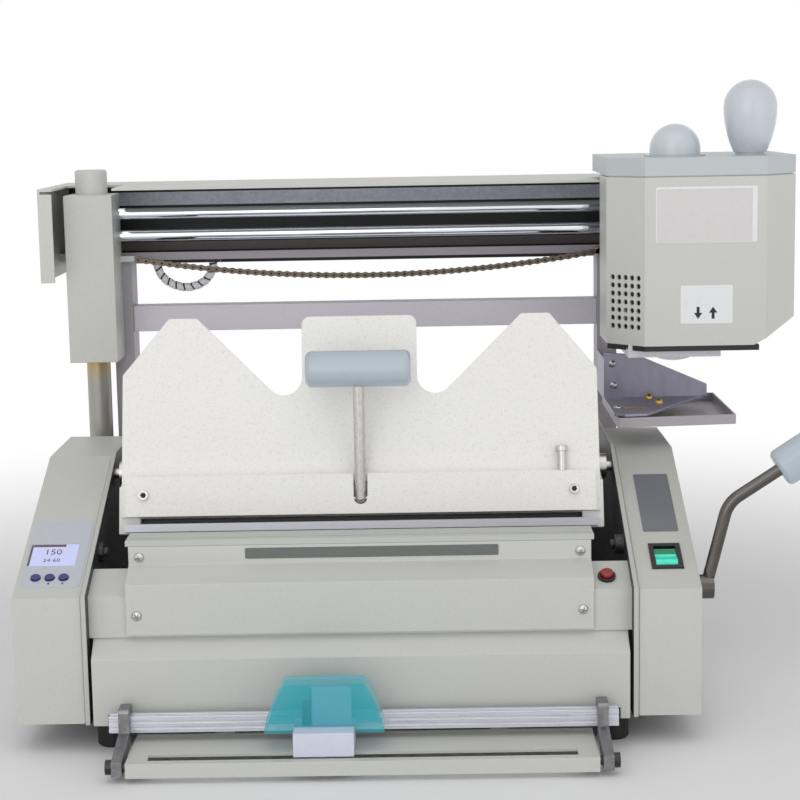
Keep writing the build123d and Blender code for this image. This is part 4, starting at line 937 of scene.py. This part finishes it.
def chain_layout():
    """A geometry group that sets outer and inner links by turns along a curve."""
    tree, given, out = new_modifier_tree("chain_layout", [
        ("Pitch", "NodeSocketFloat"), ("Outer Link", "NodeSocketObject"), ("Inner Link", "NodeSocketObject")])
    spread = add(tree, "GeometryNodeResampleCurve", mode="LENGTH", in_Curve=(given, "Geometry"),
                 in_Length=(given, "Pitch"))
    tangent = add(tree, "GeometryNodeInputTangent")
    turn = add(tree, "FunctionNodeAlignRotationToVector", axis="X", pivot_axis="Y",
               in_Vector=(tangent, "Tangent"))
    hold = add(tree, "GeometryNodeStoreNamedAttribute", data_type="QUATERNION", domain="POINT",
               in_Name="turn", in_Geometry=(spread, "Curve"), in_Value=(turn, "Rotation"))
    place = add(tree, "GeometryNodeCurveToPoints", mode="EVALUATED", in_Curve=(hold, "Geometry"))
    read = add(tree, "GeometryNodeInputNamedAttribute", data_type="QUATERNION", in_Name="turn")
    index = add(tree, "GeometryNodeInputIndex")
    odd = reckon(tree, "MODULO", (index, "Index"), 2.0)
    joined = add(tree, "GeometryNodeJoinGeometry")
    for label, wanted in (("Outer Link", 1.0), ("Inner Link", 0.0)):
        pick = add(tree, "FunctionNodeCompare", data_type="FLOAT", operation="EQUAL", in_A=odd, in_B=wanted)
        shape = add(tree, "GeometryNodeObjectInfo", in_Object=(given, label))
        put = add(tree, "GeometryNodeInstanceOnPoints", in_Points=(place, "Points"),
                  in_Selection=(pick, "Result"), in_Instance=(shape, "Geometry"),
                  in_Rotation=(read, "Attribute"))
        feed(tree, joined, Geometry=(put, "Instances"))
    end_with_coat(tree, (joined, "Geometry"), given, out)
    return tree


class BINDER_OT_chain(bpy.types.Operator):
    """Roller chain, its links set along the sagging line by Geometry Nodes"""
    bl_idname = "binder.chain"
    bl_label = "Roller chain"

    def execute(self, context):
        sizes = context.scene.binder_sizes
        (x0, z0), (x1, z1) = CHAIN_ENDS
        points = []
        for step in range(CHAIN_POINTS + 1):
            share = step / CHAIN_POINTS
            drop = sizes.chain_sag * 4 * share * (1 - share)
            points.append(at(x0 + (x1 - x0) * share, CHAIN_Y, z0 + (z1 - z0) * share) - Vector((0, 0, drop)))
        curve = bpy.data.curves.new("chain_line", "CURVE")
        curve.dimensions = "3D"
        add_spline(curve, "POLY", points)
        pitch = sizes.chain_pitch / MM
        outer = object_for("outer_link", chain_link_mesh(pitch, *OUTER_LINK))
        inner = object_for("inner_link", chain_link_mesh(pitch, *INNER_LINK))
        mesh = run_geometry("chain_layout", object_for("chain_line", curve), chain_layout(),
                            {"Pitch": sizes.chain_pitch, "Outer Link": outer, "Inner Link": inner,
                             "Coat": coat_of("chain_steel")})
        for shape in (outer, inner):
            bpy.data.objects.remove(shape)
        piece = piece_from("roller_chain", mesh, "chain_steel", "body_frame", "chain_steel")
        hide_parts("chain")
        return {"FINISHED"}


HEX_HEIGHTS = (0.9, 0.3)
SOCKET_CAP = ((0, 0), (1, 0), (1, 0.8), (0.93, 0.94), (0.62, 0.94), (0.6, 0.9), (0.58, 0.3), (0, 0.29))
DOME = ((0, 0), (1, 0), (1, 0.18), (0.93, 0.42), (0.74, 0.68), (0.45, 0.86), (0.2, 0.92), (0, 0.93))
# Length, width and height of the cross recess at its floor and at its mouth, for a head of 1 mm radius
RECESS_FLOOR = (0.5, 0.12, 0.3)
RECESS_MOUTH = (1.26, 0.24, 1.1)


def hex_reach(turn, height):
    """How far a ring reaches at a turn: a hexagon at the well's heights and a circle elsewhere."""
    if height not in HEX_HEIGHTS:
        return 1.0
    part = turn % math.radians(60) - math.radians(30)
    return math.cos(math.radians(30)) / math.cos(part)


def cross_head_mesh():
    """A dome of 1 mm radius standing on local Z, with a cross recess."""
    head = object_for("head", lathe(DOME, 28))
    bars = []
    for turn in (0, 90):
        work = bmesh.new()
        bmesh.ops.create_cube(work, size=1.0)
        for corner in work.verts:
            long, wide, z = RECESS_FLOOR if corner.co.z < 0 else RECESS_MOUTH
            corner.co = (corner.co.x * long * MM, corner.co.y * wide * MM, z * MM)
        bmesh.ops.rotate(work, verts=work.verts, matrix=Matrix.Rotation(math.radians(turn), 3, "Z"))
        bars.append(object_for("recess", mesh_from(work, "recess", outward=False)))
        cut = head.modifiers.new("recess", "BOOLEAN")
        cut.operation = "DIFFERENCE"
        cut.solver = "EXACT"
        cut.object = bars[-1]
    mesh = evaluated_mesh(head)
    for bar in bars:
        bpy.data.objects.remove(bar)
    return mesh


HEAD_FACTS = (("facing", "FLOAT_VECTOR"), ("size", "FLOAT_VECTOR"), ("spin", "FLOAT"))


def screw_scatter():
    """A geometry group that stands a head on each point, by the point's own facing, size and spin."""
    tree, given, out = new_modifier_tree("screw_scatter", [("Head", "NodeSocketObject")])
    facing, size, spin = [
        (add(tree, "GeometryNodeInputNamedAttribute", data_type=kind, in_Name=label), "Attribute")
        for label, kind in HEAD_FACTS]
    turn = add(tree, "FunctionNodeAlignRotationToVector", axis="Z", in_Vector=facing)
    shape = add(tree, "GeometryNodeObjectInfo", in_Object=(given, "Head"))
    own = add(tree, "FunctionNodeAxisAngleToRotation", in_Axis=(0, 0, 1), in_Angle=spin)
    both = add(tree, "FunctionNodeRotateRotation", rotation_space="LOCAL", in_Rotation=(turn, "Rotation"),
               in_Rotate_By=(own, "Rotation"))
    put = add(tree, "GeometryNodeInstanceOnPoints", in_Points=(given, "Geometry"),
              in_Instance=(shape, "Geometry"), in_Rotation=(both, "Rotation"), in_Scale=size)
    end_with_coat(tree, (put, "Instances"), given, out)
    return tree


def scatter_heads(name, places, shape, body, finish):
    """Sets screw heads at listed places by Geometry Nodes: each has a point, a facing, a size and a spin."""
    mesh = bpy.data.meshes.new(name)
    mesh.from_pydata([place for place, facing, size, spin in places], [], [])
    for label, kind in HEAD_FACTS:
        mesh.attributes.new(label, kind, "POINT")
    for index, (place, facing, size, spin) in enumerate(places):
        mesh.attributes["facing"].data[index].vector = facing
        mesh.attributes["size"].data[index].vector = (size[0], size[0], size[1])
        mesh.attributes["spin"].data[index].value = math.radians(spin)
    tree = bpy.data.node_groups.get("screw_scatter") or screw_scatter()
    head = object_for("head", shape)
    made = run_geometry("screw_scatter", object_for(name, mesh), tree,
                        {"Head": head, "Coat": coat_of(finish)})
    bpy.data.objects.remove(head)
    return piece_from(name, made, finish, body, "zinc_steel")


def round_nodes(fold, rows):
    """Rounds CAD nodes: each row is a node, its share of the fold radius, its finish and its slot."""
    for node, part, finish, slot in rows:
        rounded_copy(node, fold * part, finish, slot)


class BINDER_OT_sheet_metal(bpy.types.Operator):
    """Consoles, covers, cheeks, tray and base with rounded folds and powder coat"""
    bl_idname = "binder.sheet_metal"
    bl_label = "Sheet metal"

    def execute(self, context):
        fold = context.scene.binder_sizes.fold / MM
        round_nodes(fold, [(node, part, "body_paint", "body_paint") for node, part in (
            ("left_console_cover", 0.6), ("right_console_cover", 0.6), ("lower_front_panel", 1.0),
            ("front_cover", 1.0), ("centre_cover", 1.0), ("rear_panel", 0.8), ("trimmer_tray", 0.8))])
        # The cheeks' inner faces get painted black shade
        round_nodes(fold, (("left_cheek", 0.8, "cheek_lined", "cheek_paint"),
                           ("right_cheek", 0.8, "cheek_lined", "cheek_paint"),
                           ("clamp_table", 0.8, "cheek_paint", "cheek_paint")))
        dress("black_steel", "base_pan")
        dress("rubber", "feet")
        dress("black_moulding", "mains_inlet")
        return {"FINISHED"}


# Half the width of the gap over the jaw strip, which holds black sheets of painted shadow
GAP_HALF = 158.9


class BINDER_OT_clamp(bpy.types.Operator):
    """Speckled rest plate, bar, jaw strip, pivots and T-handle"""
    bl_idname = "binder.clamp"
    bl_label = "Clamp"

    def execute(self, context):
        fold = context.scene.binder_sizes.fold / MM
        for node in ("clamp_plate", "clamp_bar", "clamp_carrier"):
            rounded_copy(node, fold, "plate_paint", "plate_paint", 3)
        dress("strip_alloy", "jaw_strip")
        # Black sheets on the floor and the lower lip of the gap over the jaw strip: painted shadow in the gap
        gap = clamp_plane()
        gap_shadow_sheets = [box_mesh(-GAP_HALF, GAP_HALF, -4, 0, -7, -6.8, 0.05, gap),
                  box_mesh(-GAP_HALF, GAP_HALF, -4, -3.8, -6.8, -1.6, 0.05, gap)]
        piece_from("gap_lining", join_meshes(gap_shadow_sheets), "black_steel",
                   frame["nodes"]["clamp_carrier"]["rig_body"], "black_plastic")
        dress("zinc", "pivot_discs", "side_pin", "handle_rod")
        dress("aluminium", "rear_jaw")
        dress("knob_moulding", "handle_grip")
        return {"FINISHED"}


class BINDER_OT_beam(bpy.types.Operator):
    """Beam, guide rods, tower, post and uprights at the rear"""
    bl_idname = "binder.beam"
    bl_label = "Beam and tower"

    def execute(self, context):
        # The cross bar's paler grey is painted light
        round_nodes(context.scene.binder_sizes.fold / MM, (
            ("beam_shell", 0.6, "body_paint", "body_paint"), ("tower_box", 1.0, "body_paint", "body_paint"),
            ("cross_bar", 1.0, "bar_paint", "grey_steel"), ("uprights", 1.0, "frame_paint", "grey_steel")))
        dress("black_steel", "beam_back")
        dress("frame_paint", "beam_floor")
        dress("chrome", "guide_rods")
        dress("post_metal", "tower_post")
        back = front_plane(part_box("beam_back")[0][1] / MM)
        # The galvanised strip's near-white colour is painted light on a strip in the beam's shade
        for name, low, high, finish in (("beam_strip", 357, 368, "galvanised"),
                                        ("beam_rail", 319, 326, "dark_strip")):
            panel_piece(name, [rounded_rect(-246, 321, low, high, 0.4)], 0.8, back, finish, "body_frame",
                        "grey_steel")
        return {"FINISHED"}


# Middle of the vents on the pot's left bevel, and how far behind that face the black sheet of painted shade
# stands
VENT_MIDDLE = (198.15, 12.85, 288.6)
VENT_SHADE_DEPTH = 2.6
ARROWS_Z = 281


class BINDER_OT_glue_pot(bpy.types.Operator):
    """Glue pot housing, lid, bare plates with plain arrows, tank, rollers and knobs"""
    bl_idname = "binder.glue_pot"
    bl_label = "Glue pot"

    def execute(self, context):
        sizes = context.scene.binder_sizes
        fold = sizes.fold / MM
        thick = sizes.label_thick / MM
        rounded_copy("pot_shell", fold, "body_paint", "body_paint", 3)
        rounded_copy("pot_lid", fold * 1.2, "lid_paint", "lid_paint", 3)
        dress("black_steel", "pot_base")
        dress("cast_metal", "glue_tank", "glue_rollers", "carriage_block")
        dress("pot_moulding", "egg_knob", "dome_knob")
        rim = [rounded_rect(219, 293.5, 333, 374, 1.2), rounded_rect(219.8, 289.8, 333.4, 372.2, 0.6)]
        field = [rounded_rect(219.9, 289.7, 333.5, 372.1, 0.5)]
        low_plate = [rounded_rect(237.4, 276, 273, 301.4, 1.5)]
        for name, loops, share, finish in (("upper_plate_rim", rim, 1.0, "label_film"),
                                           ("upper_plate", field, 0.5, "plate_field"),
                                           ("lower_plate", low_plate, 1.0, "label_film")):
            panel_piece(name, loops, thick * share, front_plane(0), finish, "pot_carriage", "body_paint")
        marks = join_meshes([flat_panel([arrow(x, ARROWS_Z, 9, up)], 0.08, front_plane(-thick))
                             for x, up in ((250.4, False), (261.5, True))])
        piece_from("plate_arrows", marks, "label_ink", "pot_carriage", "black_plastic")
        # A black sheet behind the vents: painted shade that darkens their openings
        inward = VENT_SHADE_DEPTH / math.sqrt(2)
        vent_x, vent_y, vent_z = VENT_MIDDLE
        behind = plane_matrix(at(vent_x + inward, vent_y + inward, vent_z), (1, -1, 0), (0, 0, 1))
        panel_piece("vent_lining", [rounded_rect(-15, 15, -21.5, 21.5, 1)], 0.6, behind, "black_steel",
                    "pot_carriage", "dark_steel")
        return {"FINISHED"}


BRACKET_TOP = 205.0
TRAY_FLOOR = 197.0
# Middle, half length, half width and height of each blot of old glue
BLOTS = ((206, 37, 6.5, 1.6, BRACKET_TOP), (214, 33, 2.4, 1.5, BRACKET_TOP),
         (236, 40, 9, 6, TRAY_FLOOR), (252, 30, 5, 3.5, TRAY_FLOOR))


class BINDER_OT_drip_tray(bpy.types.Operator):
    """Drip tray and its bracket, with glue left on them"""
    bl_idname = "binder.drip_tray"
    bl_label = "Drip tray"

    def execute(self, context):
        fold = context.scene.binder_sizes.fold / MM
        rounded_copy("drip_tray", fold, "frame_paint", "grey_steel")
        rounded_copy("drip_bracket", fold * 0.6, "bracket_metal", "grey_steel")
        blots = []
        for cx, cy, long, wide, z in BLOTS:
            rim = [(cx + (x - cx) * long, cy + (y - cy) * wide * (1 + 0.16 * math.sin(5 * x)))
                   for x, y in disc(cx, cy, 1.0, 22)]
            blots.append(flat_panel([rim], 0.5, level_plane(z), 0.2))
        piece_from("old_glue", join_meshes(blots), "old_glue", "body_frame", "grey_steel")
        return {"FINISHED"}


class BINDER_OT_trimmer(bpy.types.Operator):
    """Trimmer rail, hooked arms and the cutter head under its see-through cover"""
    bl_idname = "binder.trimmer"
    bl_label = "Paper trimmer"

    def execute(self, context):
        fold = context.scene.binder_sizes.fold / MM
        rounded_copy("trimmer_rail", fold * 0.5, "aluminium", "rail_aluminium")
        rounded_copy("trimmer_arms", fold, "arm_steel", "zinc_steel")
        rounded_copy("cutter_block", fold * 1.2, "pale_moulding", "pale_plastic", 3)
        rounded_copy("cutter_cover", fold, "clear_teal", "teal_cover", 3)
        dress("black_moulding", "pivot_nuts")
        dress("zinc", "cutter_wheel")
        catch = box_mesh(-38.4, -32.4, -187.5, -181, 31, 47, 1.2)
        piece_from("cutter_catch", catch, "brown_sleeve", "cutter", "pale_plastic")
        return {"FINISHED"}


class BINDER_OT_side_lever(bpy.types.Operator):
    """Side lever: shaft, bent rod and grip"""
    bl_idname = "binder.side_lever"
    bl_label = "Side lever"

    def execute(self, context):
        dress("zinc", "lever_shaft")
        dress("lever_chrome", "lever_rod")
        dress("knob_moulding", "lever_grip")
        return {"FINISHED"}


DIGIT_THICK = 0.1


def text_mesh(body, size, cx, cy, plane):
    """Plain digits as thin solid letters, centred on a place of the plane."""
    curve = bpy.data.curves.new("digits", "FONT")
    curve.body = body
    curve.size = size * MM
    curve.extrude = DIGIT_THICK * MM / 2
    curve.align_x = "CENTER"
    curve.align_y = "CENTER"
    curve.resolution_u = 3
    mesh = evaluated_mesh(object_for("digits", curve))
    mesh.transform(plane @ Matrix.Translation((cx * MM, cy * MM, DIGIT_THICK * MM / 2)))
    return mesh


# Middles of the left console's display, buttons and label across, and their depths
DISPLAY_X = -215.6
BUTTONS_X = (-224.0, -214.3, -204.6)
LABEL_X = (-233.8, -192.5)
DISPLAY_Y = -99.5
BUTTONS_Y = -123.5
LABEL_Y = -97
LABEL_ENDS = (-133, -61)
WINDOW_WIDE, WINDOW_TALL = 17.2, 12.7
BUTTON_HOLE = 3.7


def up_slope(y):
    """The distance on the console's slope from the label's origin to a depth."""
    lean = math.atan2(SLOPE_CREST[1] - SLOPE_FOOT[1], SLOPE_CREST[0] - SLOPE_FOOT[0])
    return (y - LABEL_Y) / math.cos(lean)


class BINDER_OT_controls(bpy.types.Operator):
    """Display, buttons, rocker, bare labels and plates"""
    bl_idname = "binder.controls"
    bl_label = "Controls"

    def execute(self, context):
        thick = context.scene.binder_sizes.label_thick / MM
        dress("screen", "display")
        dress("navy_moulding", "left_button", "middle_button", "right_button")
        dress("red_moulding", "red_button")
        dress("green_lens", "power_rocker")
        dress("black_moulding", "rocker_bezel")
        dress("circuit", "control_board")
        left = DISPLAY_X
        screen = console_plane(DISPLAY_Y, 0.2)
        # The band above the digits, the bar beside them, and the digits
        ink = [flat_panel([rounded_rect(left - 15.2, left + 7.5, 9.4, 12, 0.2)], 0.1, screen),
               flat_panel([rounded_rect(left - 16.8, left - 15.4, -12, 12, 0.2)], 0.1, screen),
               text_mesh("150", 8.4, left - 0.5, 3.2, screen),
               text_mesh("24 60", 5.4, left - 0.5, -6.2, screen)]
        piece_from("display_digits", join_meshes(ink), "screen_ink", "body_frame", "display_glass")
        window = up_slope(DISPLAY_Y)
        row = up_slope(BUTTONS_Y)
        loops = [rounded_rect(*LABEL_X, *(up_slope(y) for y in LABEL_ENDS), 2),
                 rounded_rect(left - WINDOW_WIDE, left + WINDOW_WIDE, window - WINDOW_TALL,
                              window + WINDOW_TALL, 0.8)]
        loops += [disc(x, row, BUTTON_HOLE) for x in BUTTONS_X]
        panel_piece("console_label", loops, thick, console_plane(LABEL_Y), "label_tint", "body_frame",
                    "body_paint")
        signs = [flat_panel([arrow(x, row - 6.2, 2.6, up)], 0.06, console_plane(LABEL_Y, thick))
                 for x, up in zip(BUTTONS_X[1:], (True, False))]
        piece_from("button_arrows", join_meshes(signs), "label_ink", "body_frame", "black_plastic")
        panel_piece("name_strip", [rounded_rect(-79, 96, 129, 136.5, 1.0)], thick * 1.6, front_plane(-120),
                    "strip_grey", "body_frame", "grey_steel")
        panel_piece("nameplate", [rounded_rect(200, 225, -35.2, 35.2, 1.2)], thick * 1.6,
                    console_plane(-52.25), "nameplate_grey", "body_frame", "grey_steel")
        ring = flat_panel([disc(170, 0, 5.9), disc(170, 0, 4.9)], 2.4,
                          tilted_plane(COVER_FOOT, COVER_CREST, -126.0), 0.3)
        piece_from("red_button_ring", ring, "black_moulding", "body_frame", "black_plastic")
        return {"FINISHED"}


FRONT = (0, -1, 0)
TOP = (0, 0, 1)
# Radius and height of each head; the covers' own size is a setting
SMALL_HEAD = (3.0, 1.9)
BRASS_HEAD = (3.1, 4.0)
SOCKET_HEAD = (3.6, 3.0)
BAR_LIFT = 7.0
SOCKETS_X = (-155.5, 152.8)
SOCKETS_UP = 15.2


class BINDER_OT_fasteners(bpy.types.Operator):
    """Pan-head and socket screws, set by Geometry Nodes"""
    bl_idname = "binder.fasteners"
    bl_label = "Screws"

    def execute(self, context):
        sizes = context.scene.binder_sizes
        large = (sizes.screw_radius / MM, sizes.screw_tall / MM)
        rows = [(at(x, y, z), FRONT, large, spin)
                for x, y, z, spin in ((-152.5, -120, 131, 12), (152.5, -120, 131, 48), (-152.5, -141, 95, 33),
                                      (152.5, -141, 95, 71))]
        rows += [(at(x, 88, z), FRONT, SMALL_HEAD, spin) for x, z, spin in ((196, 232, 10), (197, 214.7, 55))]
        rows.append((at(194.8, 38, BRACKET_TOP), TOP, SMALL_HEAD, 30))
        heads = scatter_heads("cover_screws", rows, cross_head_mesh(), "body_frame", "zinc")
        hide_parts("screws")
        brass = [(at(x, y, BRACKET_TOP), TOP, BRASS_HEAD, spin)
                 for x, y, spin in ((224, 80, 20), (228.8, 56, 65))]
        scatter_heads("bracket_brass", brass, cross_head_mesh(), "body_frame", "brass")
        face = clamp_plane(BAR_LIFT)
        out = face.to_3x3() @ Vector((0, 0, 1))
        sockets = [(face @ Vector((x * MM, SOCKETS_UP * MM, 0)), out, SOCKET_HEAD, spin)
                   for x, spin in zip(SOCKETS_X, (10, 40))]
        scatter_heads("bar_sockets", sockets, lathe(SOCKET_CAP, 24, hex_reach), "clamp", "zinc")
        wells = [flat_panel([disc(x, SOCKETS_UP, 1.9, 6)], 0.2, clamp_plane(BAR_LIFT + 1.2))
                 for x in SOCKETS_X]
        piece_from("socket_wells", join_meshes(wells), "rubber", "clamp", "zinc_steel")
        return {"FINISHED"}


SETTINGS = (("binder_finish", BinderFinish), ("binder_sizes", BinderSizes), ("binder_stage", BinderStage))
STEPS = (BINDER_OT_stage, BINDER_OT_lead, BINDER_OT_sheet_metal, BINDER_OT_clamp, BINDER_OT_beam,
         BINDER_OT_glue_pot, BINDER_OT_drip_tray, BINDER_OT_trimmer, BINDER_OT_side_lever, BINDER_OT_controls,
         BINDER_OT_fasteners, BINDER_OT_chain)


class BINDER_PT_panel(bpy.types.Panel):
    """Lists the steps and the settings"""
    bl_label = "Hot melt binder"
    bl_idname = "BINDER_PT_panel"
    bl_space_type = "VIEW_3D"
    bl_region_type = "UI"
    bl_category = "Binder"

    def draw(self, context):
        column = self.layout.column()
        for step in STEPS:
            column.operator(step.bl_idname, text=step.bl_label)
        for name, settings in SETTINGS:
            box = self.layout.box()
            for key in settings.__annotations__:
                box.prop(getattr(context.scene, name), key)


def register():
    for name, settings in SETTINGS:
        bpy.utils.register_class(settings)
        setattr(bpy.types.Scene, name, PointerProperty(type=settings))
    for step in (*STEPS, BINDER_PT_panel):
        bpy.utils.register_class(step)


def unregister():
    for step in reversed((*STEPS, BINDER_PT_panel)):
        bpy.utils.unregister_class(step)
    for name, settings in reversed(SETTINGS):
        delattr(bpy.types.Scene, name)
        bpy.utils.unregister_class(settings)


def main():
    register()
    for step in STEPS:
        group_name, step_name = step.bl_idname.split(".")
        getattr(getattr(bpy.ops, group_name), step_name)()
    bpy.context.view_layer.update()


if __name__ == "__main__":
    main()
